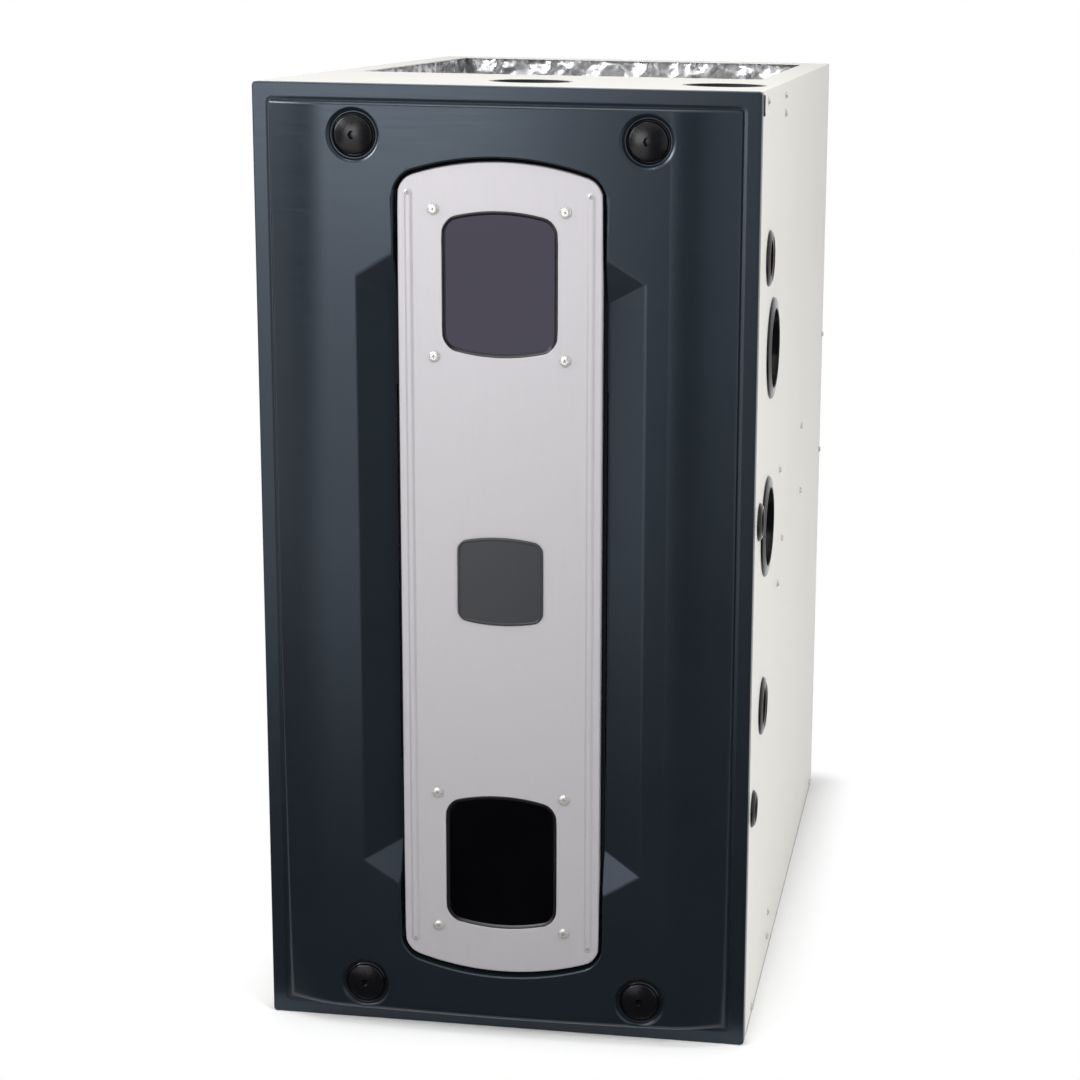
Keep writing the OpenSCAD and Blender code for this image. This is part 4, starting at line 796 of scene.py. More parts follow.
@dataclass
class FrontStrip:
    """The bright strip with its long beads, its two windows' frames and the bare badge plate."""

    width: float = 180.0
    length: float = 738.0
    end_r: float = 250.0
    corner: float = 12.5
    face: float = STRIP_FACE
    seat: float = 13.0
    edge_r: float = 1.6
    bead_x: float = 80.0
    bead_r: float = 4.0
    bead_rise: float = 1.3
    bead_flat: float = 0.35
    bead_half: float = 345.0
    window: Four = (102.0, 127.0, 165.0, 12.0)
    bezel: float = 3.0
    badge: Four = (77.0, 80.0, 165.0, 8.0)

    def outline(self, x: Grid, z: Grid) -> Grid:
        """Distance inside the strip's outline."""
        return barrel_inside(x, z, self.width, self.length, self.end_r, self.corner)

    def opening(self, x: Grid, z: Grid) -> Grid:
        """Distance inside a window opening centred on 0, 0."""
        return barrel_inside(x, z, *self.window)

    def height(self, x: Grid, z: Grid) -> Grid:
        """Height of the strip's face in front of the rim's plane."""
        u, v = np.abs(x) - self.bead_x, np.abs(z)
        past = np.maximum(v - (self.bead_half - self.bead_r), 0)
        p = np.hypot(u, past) / self.bead_r
        flank = np.clip((p - self.bead_flat) / (1 - self.bead_flat), 0, 1)
        bead = self.bead_rise * (0.5 + 0.5 * np.cos(np.pi * flank))
        dot = np.hypot(u, v - self.bead_half + self.bead_r)
        bead -= 1.8 * np.clip((1.7 - dot) / 0.6, 0, 1)
        window = self.opening(x, v - WINDOW_Z)
        return self.face + bead - round_over(self.outline(x, z), self.edge_r) - round_over(np.maximum(-window, 0), 0.5)

    def keep(self, x: Grid, z: Grid) -> Grid:
        """Whether a place belongs to the strip's face."""
        return (self.outline(x, z) > -0.001) & (self.opening(x, np.abs(z) - WINDOW_Z) < 0.001)

    def build(self) -> None:
        """Makes the strip, the window frames and the badge plate."""
        relief = Relief(lifted(self.height), lifted(self.keep))
        loop = barrel_loop(self.width, self.length, self.end_r, self.corner, 60)
        hole = barrel_loop(*self.window, 15)
        ups = [MID_Z + end * WINDOW_Z for end in BOTH]
        relief.levels(loop, self.outline, (0, 0.12, 0.4, 0.8, 1.2, 1.6), 0, MID_Z)
        for up in ups:
            relief.levels(hole, self.opening, (0, -0.06, -0.2, -0.5), 0, up)
        tip = self.bead_half - self.bead_r
        for x in (side * self.bead_x for side in BOTH):
            for share in (1.0, 0.85, 0.7, 0.55, 0.4, 0.2):
                r = share * self.bead_r
                relief.line(shifted(arc(0, tip, r, 0, 180, 14) + arc(0, -tip, r, 180, 360, 14), x, MID_Z))
            relief.line([(x, MID_Z - 338), (x, MID_Z + 338)], False)
            for end in BOTH:
                for r in (1.7, 1.1):
                    relief.line(shifted(arc(0, 0, r, 0, 330, 11), x, MID_Z + end * tip))

        def edges(verts: list, faces: list) -> None:
            """Adds the turned-back edge and the walls of the openings."""
            steps = ((0, self.face - self.edge_r), (0, self.seat - 7))
            sweep_loop(verts, faces, loop, steps, self.outline, up=MID_Z)
            for up in ups:
                sweep_loop(verts, faces, hole[::-1], ((0, self.face - 0.5), (0, self.seat)), self.opening, up=up)

        mesh = relief.mesh("bright_strip_face", edges)
        place("bright_strip_face", mesh, Body.DOOR, "bright_strip", "front_strip")
        self._bezels(ups)
        self._badge()

    def _bezels(self, ups: Sequence[float]) -> None:
        """Makes the dark frames that line the window openings, which are centred at the given heights."""
        width, height, end_r, corner = self.window
        size = (width - 0.4, height - 0.4, end_r, corner)
        low = self.seat + 1.6
        profile = ((0, low), (0, low + 0.9), (0.15, low + 1.15), (0.4, low + 1.25), (0.8, low + 1.2),
                   (self.bezel - 0.5, low + 0.5), (self.bezel - 0.1, low + 0.35), (self.bezel, low))
        loop = barrel_loop(*size, 15)
        verts, faces = [], []
        for up in ups:
            sweep_loop(verts, faces, loop, profile[::-1], lambda x, z: barrel_inside(x, z, *size), up=up)
        place("window_frames", plain_mesh("window_frames", verts, faces, 30), Body.DOOR, "dark_trim", "window_bezels")

    def _badge(self) -> None:
        """Makes the bare badge plate with its raised border."""
        def inside(x: Grid, z: Grid) -> Grid:
            """Distance inside the plate's outline."""
            return barrel_inside(x, z, *self.badge)

        def height(x: Grid, z: Grid) -> Grid:
            """Height of the plate: round edge, narrow border, and a face that is slightly crowned."""
            d = inside(x, z)
            border = np.clip((d - 2.0) / 0.5, 0, 1)
            crown = 0.35 * np.cos(np.clip(x / 40, -1, 1) * np.pi / 2) * border
            return self.face + 2.2 - round_over(d, 1.0) - 0.7 * border + crown

        def edge(verts: list, faces: list) -> None:
            """Adds the plate's edge."""
            sweep_loop(verts, faces, loop, ((0, self.face + 1.2), (0, self.face)), inside, up=MID_Z)

        relief = Relief(lifted(height), lifted(lambda x, z: inside(x, z) > -0.001))
        loop = barrel_loop(*self.badge, 6)
        relief.levels(loop, inside, (0, 0.08, 0.3, 0.6, 1.0, 2.0, 2.5), 0, MID_Z)
        for x in spread(-34, 34, 4):
            relief.line([(x, MID_Z + z) for z in spread(-34, 34, 6)], False)
        place("bare_badge_plate", relief.mesh("bare_badge_plate", edge), Body.DOOR, "badge_grey", "badge_plate")


@dataclass
class Knob:
    """A quarter-turn latch knob: domed disc with a round edge, hexagon socket, tick and stud, in a low ring."""

    across: float = 128.0
    ups: Two = (42.8, 820.8)
    radius: float = 17.0
    back: float = 13.51
    front: float = 19.0
    dome: float = 3.1
    socket: Two = (4.2, 5.0)
    stud_r: float = 5.0
    stud_end: float = -26.3
    ring: Two = (17.7, 20.3)

    def height(self, x: Grid, z: Grid) -> Grid:
        """Height of the knob's face, with its centre at 0, 0."""
        r = np.hypot(x, z)
        dome = self.dome * np.maximum(1 - (r / self.radius) ** 2, 0)
        turn = np.arctan2(z, x) % (math.pi / 3) - math.pi / 6
        inner = self.socket[0] * math.cos(math.pi / 6) - r * np.cos(turn)
        socket = self.socket[1] * np.clip(inner / 0.15, 0, 1)
        tick = 0.5 * np.clip((np.minimum(0.7 - np.abs(x), 1.4 - np.abs(z - 10.2))) / 0.3, 0, 1)
        return self.front - self.dome - round_over(self.radius - r, 1.2) + dome - socket - tick

    def face(self) -> Mesh:
        """The face, edge and stud of one knob, with its centre at 0, 0."""
        relief = Relief(self.height, lambda x, z: np.hypot(x, z) < self.radius)
        rim = arc(0, 0, self.radius, 0, 352.5, 47)
        for r in (17.0, 16.95, 16.8, 16.5, 16.1, 15.7, 14.0, 12.0, 9.5, 7.5, 5.6):
            relief.line(arc(0, 0, r, 0, 352.5, 47))
        for r in (4.2, 4.02):
            relief.line(arc(0, 0, r, 0, 300, 5))
        for w, h in ((0.7, 1.4), (0.4, 1.1)):
            relief.line([(w, 10.2 - h), (w, 10.2 + h), (-w, 10.2 + h), (-w, 10.2 - h)])

        def behind(verts: list, faces: list) -> None:
            """Adds the knob's edge, back and stud."""
            stud, collar, end = self.radius - self.stud_r, self.radius - 1.0, self.stud_end
            steps = ((0, self.front - self.dome - 1.2), (0, self.back), (stud, self.back), (stud, end + 0.8),
                     (stud + 0.8, end), (collar, end), (collar, end + 6), (self.radius - 0.02, end + 6))
            sweep_loop(verts, faces, rim, steps, lambda x, z: self.radius - np.hypot(x, z))

        return relief.mesh("knob", behind)

    def build(self) -> None:
        """Makes the four knobs and the rings round them."""
        bodies = ((-1, 1, Body.KNOB_TOP_LEFT), (1, 1, Body.KNOB_TOP_RIGHT), (-1, 0, Body.KNOB_BOTTOM_LEFT),
                  (1, 0, Body.KNOB_BOTTOM_RIGHT))
        first = self.face()
        inner, outer = self.ring
        low, high = self.back - 1.1, self.back + 1.5
        profile = ((outer, low), (inner + 0.45, high - 0.15), (inner + 0.2, high), (inner, high - 0.2), (inner, low))
        rings = []
        for side, top, body in bodies:
            x, z = side * self.across, self.ups[top]
            mesh = first.copy()
            mesh.transform(Matrix.Translation(Vector((x, 0, z)) * MM))
            place(f"{body.value}_piece", mesh, body, "knob_plastic", "latch_" + body.value)
            rings.append(turned("ring", profile, 48))
            rings[-1].transform(aim((0, -1, 0), (x, RIM_Y, z)))
        bpy.data.meshes.remove(first)
        mesh = join(rings, "latch_rings_piece")
        place("latch_rings_piece", mesh, Body.DOOR, "dark_trim", "latch_rings", finish="plug_black")


def join(meshes: Sequence[Mesh], name: str) -> Mesh:
    """One mesh from several, which are used up."""
    work = bmesh.new()
    for mesh in meshes:
        work.from_mesh(mesh)
    for mesh in meshes:
        bpy.data.meshes.remove(mesh)
    made = bpy.data.meshes.new(name)
    work.to_mesh(made)
    work.free()
    smooth(made)
    return made


@dataclass(frozen=True)
class Entry:
    """A round entry in both sides of the casing: depth behind the rim, height, hole radius, lap and bore radius."""

    depth: float
    up: float
    hole: float
    lap: float
    bore: float
    proud: float = 3.6
    reach: float = 7.0

    def profile(self) -> list[Two]:
        """Radius and height of the grommet or plug, from its lap inwards."""
        r, top = self.hole + self.lap, self.proud
        lip = max(self.bore, self.hole - 2.0)
        steps = [(r, 0.0), (r, 0.9), (r - 0.5, 1.7), (r - 1.4, 2.3)]
        steps += [(lip + 3.0, top - 0.7), (lip + 2.2, top - 0.2), (lip + 1.4, top), (lip + 0.7, top - 0.2),
                  (lip + 0.2, top - 0.8)]
        if self.bore:
            return steps + [(self.bore, top - 1.5), (self.bore, -self.reach), (self.hole, -self.reach),
                            (self.hole, 0.0)]
        floor = -9.0
        return steps + [(lip - 0.2, floor + 1.4), (lip - 0.7, floor + 0.4), (lip - 1.8, floor), (lip * 0.62, floor),
                        (lip * 0.6, floor + 0.5), (lip * 0.52, floor + 0.5), (lip * 0.5, floor), (0.0, floor + 0.3)]


@dataclass
class SideEntries:
    """The grommets, vent hole plugs and bushings in both sides."""

    groups: dict[str, tuple[Entry, ...]] = field(default_factory=lambda: {
        "gas_entry_grommets": (Entry(82, 714, 21, 4, 17),),
        "vent_hole_plugs": (Entry(124, 627, 38, 8.5, 0), Entry(107, 463.5, 38, 8.5, 0)),
        "drain_entry_grommets": (Entry(99, 293.5, 22, 5, 18),),
        "wiring_bushings": (Entry(43, 482.5, 14, 3, 11.1), Entry(36, 215.5, 14, 3, 11.1))})

    def build(self) -> None:
        """Makes one piece for each group."""
        for node, entries in self.groups.items():
            parts = []
            for entry in entries:
                for side in BOTH:
                    part = turned("entry", entry.profile(), 64 if entry.hole > 30 else 48)
                    part.transform(aim((side, 0, 0), (side * CAB_W / 2, RIM_Y + entry.depth, entry.up)))
                    parts.append(part)
            name = f"{node}_piece"
            place(name, join(parts, name), Body.CABINET, "plug_black", node)


@dataclass
class CasingClipsAndHemShadow:
    """Small dark pieces on the casing: a thin black plate low on each side that paints the folded hem's shadow line,
    and the door's corner clips.
    """

    # Painted shadow: height, half height and standout of the thin black plate that stands for the hem's shadow line.
    hem_shadow_up: float = 3.4
    hem_shadow_half: float = 1.1
    clip: Three = (14.6, 1.5, 8.5)
    clip_foot: Three = (15.8, 2.7, 1.6)
    proud: float = 1.3
    hem_shadow_proud: float = 0.12

    @staticmethod
    def plate(half_w: float, half_h: float, height: float, side: int, depth: float, up: float) -> Mesh:
        """A low plate with round corners and edges on one side of the casing, centred at a depth behind the rim."""
        corner = min(half_w, half_h) * 0.8
        loop = rect_loop(half_w, half_h, corner, 60)
        edge = min(0.5, height * 0.6, corner * 0.6)
        profile = ((0, -0.3), (0, height - edge), (edge * 0.3, height - edge * 0.3), (edge, height))
        verts, faces = [], []
        sweep_loop(verts, faces, loop, profile, lambda x, z: rect_inside(x, z, half_w, half_h, corner), 0.0)
        faces.append(list(range(len(verts) - len(loop), len(verts))))
        made = plain_mesh("plate", verts, faces)
        at = Vector((side * CAB_W / 2, RIM_Y + depth, up)) * MM
        made.transform(Matrix.Translation(at) @ Matrix.Rotation(side * math.pi / 2, 4, "Z"))
        return made

    def build(self) -> None:
        """Makes the black plates that paint the hem's shadow line, and the clips."""
        start, end = SEAT_Y - RIM_Y + 2, BACK_Y - RIM_Y - 2
        half, middle = (end - start) / 2, (start + end) / 2
        parts = []
        for side in BOTH:
            # Painted shadow line of the folded hem: a thin black plate on each side.
            parts.append(self.plate(half, self.hem_shadow_half, self.hem_shadow_proud, side, middle, self.hem_shadow_up))
            for (depth, half_w, half_h), up in ((self.clip, CAB_H - 11.5), (self.clip_foot, CAB_H - 19.5)):
                parts.append(self.plate(half_w, half_h, self.proud, side, depth, up))
        place("casing_trim", join(parts, "casing_trim"), Body.CABINET, "dark_trim")


# ---------------------------------------------------------------- geometry nodes

def run_tree(tree: NodeTree, source: Mesh, name: str, values: dict[str, object]) -> Mesh:
    """Runs a geometry tree on a mesh with named inputs and returns the plain result.

    Args:
        tree: The geometry tree.
        source: The mesh that it starts from.
        name: The result's name.
        values: Value for each of the tree's inputs, by name.
    Returns:
        The result as a plain mesh.
    """
    host = linked(name + "_host", source)
    run = host.modifiers.new("run", "NODES")
    run.node_group = tree
    for item in tree.interface.items_tree:
        if item.in_out == "INPUT" and item.name in values:
            run[item.identifier] = values[item.name]
    bpy.context.view_layer.update()
    made = bpy.data.meshes.new_from_object(host.evaluated_get(bpy.context.evaluated_depsgraph_get()))
    made.name = name
    host.modifiers.remove(run)
    bpy.data.objects.remove(host)
    bpy.data.meshes.remove(source)
    return made


def new_tree(name: str, inputs: dict[str, str]) -> tuple[NodeTree, Node]:
    """A geometry tree with its inputs, given as socket type by name, and its input node."""
    tree = bpy.data.node_groups.new(name, "GeometryNodeTree")
    for label, kind in {"Geometry": "NodeSocketGeometry", **inputs}.items():
        tree.interface.new_socket(label, in_out="INPUT", socket_type=kind)
    tree.interface.new_socket("Geometry", in_out="OUTPUT", socket_type="NodeSocketGeometry")
    return tree, add_node(tree, "NodeGroupInput")


def close_tree(tree: NodeTree, shape: NodeSocket, finish: NodeSocket) -> None:
    """Ends a tree in Realize Instances and Set Material."""
    real = add_node(tree, "GeometryNodeRealizeInstances", {"Geometry": shape}).outputs[0]
    done = add_node(tree, "GeometryNodeSetMaterial", {"Geometry": real, "Material": finish}).outputs[0]
    add_node(tree, "NodeGroupOutput", {"Geometry": done})


@dataclass
class Fasteners:
    """Screws set by rule: one head, copied to every spot and turned by a seeded amount, as screws end up."""

    seed: int = 7
    front: Two = (58.0, 64.0)
    side: tuple[Two, ...] = (
        (204, 851.6), (204, 835), (224, 492), (257, 416), (225, 378), (450, 492), (457, 420), (200, 46),
        (192, 24), (60, 10), (680, 10), (49, 853.6), (700, 553), (700, 416))
    back: tuple[Two, ...] = (
        (200, 26), (70, 11), (200, 245), (60, 401), (165, 401), (200, 640), (200, 838), (70, 852))

    def tree(self) -> NodeTree:
        """Copies a part to each point, along the point's own direction, with a random turn."""
        tree, given = new_tree("set_screws", {"Part": "NodeSocketObject", "Most Turn": "NodeSocketFloat",
                                              "Seed": "NodeSocketInt", "Finish": "NodeSocketMaterial"})
        facing = add_node(tree, "GeometryNodeInputNamedAttribute", {"Name": "facing"}, data_type="FLOAT_VECTOR")
        stand = add_node(tree, "FunctionNodeAlignRotationToVector", {"Vector": facing.outputs["Attribute"]}, axis="Z")
        turn = add_node(tree, "FunctionNodeRandomValue", {"Seed": given.outputs["Seed"]}, data_type="FLOAT")
        tree.links.new(given.outputs["Most Turn"], turn.inputs[3])
        spin = add_node(tree, "FunctionNodeAxisAngleToRotation", {"Axis": (0, 0, 1), "Angle": turn.outputs[1]})
        both = add_node(tree, "FunctionNodeRotateRotation", {
            "Rotation": stand.outputs["Rotation"], "Rotate By": spin.outputs["Rotation"]}, rotation_space="LOCAL")
        part = add_node(tree, "GeometryNodeObjectInfo", {"Object": given.outputs["Part"]})
        set_at = add_node(tree, "GeometryNodeInstanceOnPoints", {
            "Points": given.outputs["Geometry"], "Instance": part.outputs["Geometry"],
            "Rotation": both.outputs["Rotation"]})
        close_tree(tree, set_at.outputs["Instances"], given.outputs["Finish"])
        return tree

    @staticmethod
    def head(radius: float, height: float, hexagon: bool) -> Mesh:
        """A screw head with a cross recess, on a hexagon washer base or a plain pan."""
        neck = radius * 0.72
        if hexagon:
            edge = ((radius, 0.0), (radius, 0.35), (radius * 0.9, 0.5), (neck, 0.55, 6), (neck, height * 0.9, 6))
        else:
            edge = ((radius, 0.0), (radius, height * 0.45), (radius * 0.93, height * 0.72))
        crown = ((radius * 0.62, height * 0.97), (radius * 0.42, height), (radius * 0.36, height * 0.98, -4),
                 (radius * 0.3, height * 0.35, -4), (0.0, height * 0.2))
        return turned("head", edge + crown, 24, 40)

    def set_out(self, name: str, spots: Sequence[tuple], head: Mesh, seed: int, body: Body, node: str) -> None:
        """Runs the tree and hands the screws over.

        Args:
            name: The piece's name.
            spots: Place in mm and direction of each screw.
            head: One screw's head.
            seed: Seed of the turns.
            body: The body that the screws ride on.
            node: The CAD node that they stand for.
        """
        part = bpy.data.objects.new("one_" + name, head)
        points = bpy.data.meshes.new(name)
        points.from_pydata([tuple(c * MM for c in at) for at, _ in spots], [], [])
        facing = points.attributes.new("facing", "FLOAT_VECTOR", "POINT")
        facing.data.foreach_set("vector", [c for _, way in spots for c in way])
        made = run_tree(self.tree(), points, name, {
            "Part": part, "Most Turn": math.tau / 4, "Seed": seed, "Finish": FINISHES["zinc_screw"].material()})
        bpy.data.objects.remove(part)
        place(name, made, body, "zinc_screw", node)

    def build(self) -> None:
        """Makes the window screws and the casing screws."""
        x, z = self.front
        spots = [((sx * x, RIM_Y - STRIP_FACE, MID_Z + top * WINDOW_Z + sz * z), (0, -1, 0))
                 for top in BOTH for sx in BOTH for sz in BOTH]
        self.set_out("window_screw_heads", spots, self.head(5.0, 2.4, False), self.seed, Body.DOOR, "window_screws")
        spots = [((s * CAB_W / 2, RIM_Y + depth, up), (s, 0, 0)) for s in BOTH for depth, up in self.side]
        spots += [((s * across, BACK_Y, up), (0, 1, 0)) for s in BOTH for across, up in self.back]
        self.set_out("casing_screw_heads", spots, self.head(4.0, 2.0, True), self.seed + 1, Body.CABINET,
                     "casing_screws")


@dataclass
class FoilLining:
    """The foil face of the insulation: one sheet crumpled by a rule, along both sides and the back."""

    cell: float = 5.0
    depth: float = 9.0
    seed: int = 3
    sides_in: float = 209.25
    back_y: float = 352.0
    front_y: float = -108.0
    low: float = 402.0
    high: float = 862.0

    def tree(self) -> NodeTree:
        """Crumples a sheet: a fold pattern with sharp creases, and a slower wave, both along the sheet's own normal."""
        tree, given = new_tree("crumple_foil", {"Crease Size": "NodeSocketFloat", "Depth": "NodeSocketFloat",
                                                "Seed": "NodeSocketInt", "Finish": "NodeSocketMaterial"})
        spot = add_node(tree, "GeometryNodeInputPosition").outputs[0]
        normal = add_node(tree, "GeometryNodeInputNamedAttribute", {"Name": "facing"}, data_type="FLOAT_VECTOR")

        def pattern(kind: str, scale: NodeSocket) -> NodeSocket:
            """Adds a seeded texture over the sheet's places."""
            made = add_node(tree, "ShaderNodeTex" + kind, {
                "Vector": spot, "Scale": scale, "W": given.outputs["Seed"]}, **{kind.lower() + "_dimensions": "4D"})
            return made.outputs["Distance" if kind == "Voronoi" else 0]

        scale = maths(tree, "DIVIDE", 1.0, given.outputs["Crease Size"])
        folds = pattern("Voronoi", scale)
        wave = pattern("Noise", maths(tree, "MULTIPLY", scale, 0.22))
        fine = pattern("Voronoi", maths(tree, "MULTIPLY", scale, 2.7))
        folds = maths(tree, "MULTIPLY_ADD", fine, 0.38, folds)
        rise = maths(tree, "MULTIPLY", maths(tree, "MULTIPLY", folds, wave), given.outputs["Depth"])
        push = add_node(tree, "ShaderNodeVectorMath", {0: normal.outputs["Attribute"]}, operation="SCALE")
        tree.links.new(rise, push.inputs["Scale"])
        moved = add_node(tree, "GeometryNodeSetPosition", {
            "Geometry": given.outputs["Geometry"], "Offset": push.outputs[0]})
        close_tree(tree, moved.outputs[0], given.outputs["Finish"])
        return tree

    def sheet(self) -> Mesh:
        """The flat sheet, bent round both back corners, each vertex with the way it faces."""
        verts, faces, facing = [], [], []
        ups = spread(self.low, self.high, self.cell / 2)
        corner = 14.0
        path = [(-self.sides_in, y, (1, 0)) for y in spread(self.front_y, self.back_y - corner, self.cell / 2)]
        path += [(-self.sides_in + corner - corner * math.cos(t), self.back_y - corner + corner * math.sin(t),
                  (math.cos(t), -math.sin(t))) for t in (math.radians(a) for a in (18, 36, 54, 72))]
        path += [(x, self.back_y, (0, -1)) for x in spread(-self.sides_in + corner, 0, self.cell / 2)]
        path += [(-x, y, (-nx, ny)) for x, y, (nx, ny) in reversed(path[:-1])]
        for x, y, (nx, ny) in path:
            for z in ups:
                verts.append((x * MM, y * MM, z * MM))
                facing += [nx, ny, 0.0]
        rows = len(ups)
        for i in range(len(path) - 1):
            for j in range(rows - 1):
                a = i * rows + j
                faces.append((a, a + rows, a + rows + 1, a + 1))
        made = plain_mesh("foil_sheet", verts, faces)
        made.attributes.new("facing", "FLOAT_VECTOR", "POINT").data.foreach_set("vector", facing)
        return made

    def build(self) -> None:
        """Makes the crumpled lining over the blanket."""
        mesh = run_tree(self.tree(), self.sheet(), "foil_lining", {
            "Crease Size": self.cell * 4.5 * MM, "Depth": self.depth * 2 * MM, "Seed": self.seed,
            "Finish": FINISHES["foil"].material()})
        mesh.attributes.remove(mesh.attributes["facing"])
        smooth(mesh, 50)
        place("foil_lining", mesh, Body.CABINET, "foil")


# ---------------------------------------------------------------- the rest of the frame

def dress_nodes(slots: dict[str, str]) -> None:
    """Gives every CAD node the finish of its own slot.

    Args:
        slots: Material slot for each node.
    """
    for node, slot in slots.items():
        model = frame["nodes"][node]
        if not model.material_slots:
            model.data.materials.append(None)
        for held in model.material_slots:
            held.material = FINISHES[slot].material()


# ---------------------------------------------------------------- studio

@dataclass(frozen=True)
class Lamp:
    """A soft lamp: its place, what it faces, its size in metres and its power in watts."""

    name: str
    place: Three
    faces: Three
    size: Two
    watts: float
    in_gloss: bool = True

    def build(self) -> None:
        """Puts the lamp in the scene."""
        lamp = bpy.data.lights.new(self.name, "AREA")
        lamp.shape = "RECTANGLE"
        lamp.size, lamp.size_y = self.size
        lamp.energy = self.watts
        made = linked(self.name, lamp)
        made.location = self.place
        way = Vector(self.faces) - Vector(self.place)
        made.rotation_euler = way.to_track_quat("-Z", "Y").to_euler()
        made.visible_camera = False
        made.visible_glossy = self.in_gloss


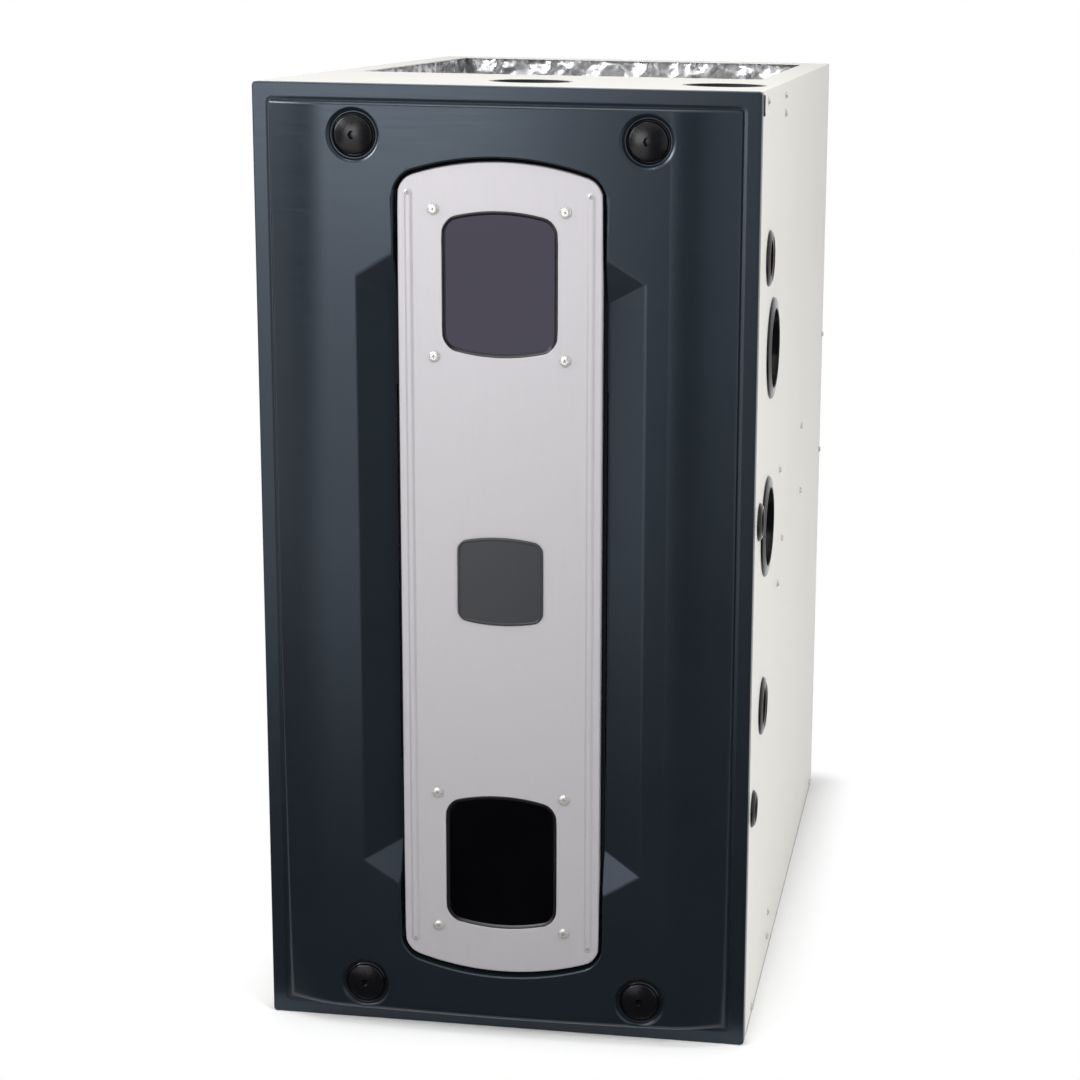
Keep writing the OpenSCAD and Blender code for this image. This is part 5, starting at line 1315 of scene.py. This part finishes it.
@dataclass
class Studio:
    """Camera, lamps, white surround and floor."""

    camera_at: Three = (0.428, -2.262, 0.955)
    pitch: float = -11.59
    yaw: float = -7.5
    roll: float = 0.88
    focal: float = 75.73
    shift: Two = (-0.15, -0.087)
    ambient: float = 0.4
    lamps: tuple[Lamp, ...] = (
        Lamp("key_softbox", (-0.67, -2.1, 0.95), (-0.1, -0.35, 0.6), (0.8, 0.7), 9.8),
        Lamp("front_fill", (0.2, -2.6, 1.7), (0.0, -0.35, 0.4), (1.2, 0.8), 20.0, False),
        Lamp("right_fill", (1.35, -1.5, 1.5), (0.22, -0.25, 0.6), (0.9, 1.1), 24.0, False),
        Lamp("overhead", (-0.25, -0.3, 2.6), (0.0, 0.0, 0.4), (1.0, 1.0), 11.0),
        Lamp("edge_strip", (-0.45, -0.8, 2.2), (-0.15, -0.35, 0.8), (0.5, 0.12), 4.0),
        Lamp("dish_spark", (-1.05, -1.42, 1.26), (-0.12, -0.35, 0.7), (0.22, 0.22), 1.6),
    )
    half_base: Two = (0.222, 0.36)
    cards: tuple[tuple, ...] = (
        ("floor_flag", ((-1.6, -1.4, 0.004), (1.6, -1.4, 0.004), (1.6, -0.37, 0.004), (-1.6, -0.37, 0.004)), 0.0),
        ("right_floor_flag", ((-0.12, -2.4, 0.004), (1.6, -2.4, 0.004), (1.6, -1.4, 0.004), (-0.12, -1.4, 0.004)), 0.0),
        ("camera_flag", ((-0.12, -2.35, 0.0), (0.95, -2.35, 0.0), (0.95, -2.35, 1.8), (-0.12, -2.35, 1.8)), 0.0),
        ("left_flag", ((-1.35, -2.2, 0.0), (-1.78, -1.6, 0.0), (-1.78, -1.6, 1.7), (-1.35, -2.2, 1.7)), 0.0),
        ("left_spark", ((-1.3, -1.15, 1.05), (-1.3, -0.45, 1.05), (-1.3, -0.45, 1.85), (-1.3, -1.15, 1.85)), 20.0),
        ("left_room", ((-1.35, -1.45, 0.006), (-0.12, -1.45, 0.006), (-0.12, -2.4, 0.6), (-1.35, -2.4, 0.6)), 1.6),
    )

    def camera(self) -> None:
        """Sets the camera near the photograph's view: a small tilt and shift, where that view has a large shift."""
        data = bpy.data.cameras.new("main")
        data.lens, data.sensor_width = self.focal, 36.0
        data.shift_x, data.shift_y = self.shift
        data.clip_start = 0.05
        made = linked("main", data)
        yaw, pitch, roll = (math.radians(a) for a in (self.yaw, self.pitch, self.roll))
        ahead = Vector((math.sin(yaw) * math.cos(pitch), math.cos(yaw) * math.cos(pitch), math.sin(pitch)))
        right = Vector((math.cos(yaw), -math.sin(yaw), 0.0))
        up = right.cross(ahead)
        across = math.cos(roll) * right + math.sin(roll) * up
        upward = math.cos(roll) * up - math.sin(roll) * right
        turn = Matrix((across, upward, -ahead)).transposed().to_4x4()
        made.matrix_world = Matrix.Translation(self.camera_at) @ turn
        bpy.context.scene.camera = made

    @staticmethod
    def seen(tree: NodeTree) -> NodeSocket:
        """1 for rays from the camera, from gloss and through glass, so that they find a white surround."""
        path = add_node(tree, "ShaderNodeLightPath")
        one = maths(tree, "MAXIMUM", path.outputs["Is Camera Ray"], path.outputs["Is Glossy Ray"])
        return maths(tree, "MAXIMUM", one, path.outputs["Is Transmission Ray"])

    def surround(self) -> None:
        """Makes the world: white where it is seen, and a plain level where it lights."""
        world = bpy.data.worlds.new("studio")
        bpy.context.scene.world = world
        tree = blank_tree(world)
        level = add_node(tree, "ShaderNodeMapRange", {"Value": self.seen(tree), "To Min": self.ambient, "To Max": 1.0})
        light = add_node(tree, "ShaderNodeBackground", {"Color": linear("#ffffff"), "Strength": level.outputs[0]})
        add_node(tree, "ShaderNodeOutputWorld", {"Surface": light.outputs[0]})

    def floor(self) -> None:
        """Makes the floor: white paper that keeps the shadow near the object and fades to the white surround."""
        mesh = turned("floor", ((30.0 / MM, -0.5), (4.0 / MM, -0.5), (1.5 / MM, -0.5), (0.0, -0.5)), 64)
        made = linked("floor", mesh)
        paper = bpy.data.materials.new("white_paper_floor")
        tree = blank_tree(paper)
        apart = add_node(tree, "ShaderNodeTexCoord").outputs["Object"]
        for operation, *other in (("ABSOLUTE",), ("SUBTRACT", (*self.half_base, 0.0)), ("MAXIMUM", (0, 0, 0))):
            apart = maths(tree, operation, apart, *other, kind="ShaderNodeVectorMath")
        away = add_node(tree, "ShaderNodeVectorMath", {0: apart}, operation="LENGTH").outputs["Value"]
        fade = add_node(tree, "ShaderNodeMapRange", {"Value": away, "From Min": 0.0, "From Max": 0.055},
                        interpolation_type="SMOOTHSTEP").outputs[0]
        shown = maths(tree, "MULTIPLY", fade, self.seen(tree))
        matt = add_node(tree, "ShaderNodeBsdfDiffuse", {"Color": linear("#ffffff")}).outputs[0]
        white = add_node(tree, "ShaderNodeEmission", {"Color": linear("#ffffff")}).outputs[0]
        mix = add_node(tree, "ShaderNodeMixShader", {0: shown, 1: matt, 2: white}).outputs[0]
        add_node(tree, "ShaderNodeOutputMaterial", {"Surface": mix})
        mesh.materials.append(paper)

    @staticmethod
    def card(name: str, corners: Sequence[Three], level: float) -> None:
        """Sets up a card that shows in gloss alone: black as a flag, or pale as the side of a white room."""
        mesh = plain_mesh(name, corners, [tuple(range(len(corners)))])
        made = linked(name, mesh)
        paint = bpy.data.materials.new(name)
        tree = blank_tree(paint)
        glow = add_node(tree, "ShaderNodeEmission", {"Strength": level}).outputs[0]
        add_node(tree, "ShaderNodeOutputMaterial", {"Surface": glow})
        mesh.materials.append(paint)
        for ray in ("camera", "diffuse", "shadow", "transmission", "volume_scatter"):
            setattr(made, "visible_" + ray, False)

    def build(self) -> None:
        """Sets the whole studio up."""
        bpy.context.scene.view_settings.view_transform = "Standard"
        self.camera()
        self.surround()
        self.floor()
        for lamp in self.lamps:
            lamp.build()
        for card in self.cards:
            self.card(*card)


def main() -> None:
    """Builds the furnace piece by piece, then the studio."""
    logging.basicConfig(level=logging.INFO, format="%(name)s: %(message)s")
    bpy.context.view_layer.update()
    dress_nodes({part["node"]: part["material_slot"] for part in frame["record"]["subparts"]})
    for piece in (DoorSkin(), FrontStrip(), Knob(), SideEntries(), CasingClipsAndHemShadow(), Fasteners(), FoilLining()):
        piece.build()
        LOG.info("%s built", type(piece).__name__)
    Studio().build()
    bpy.context.view_layer.update()


if __name__ == "__main__":
    main()
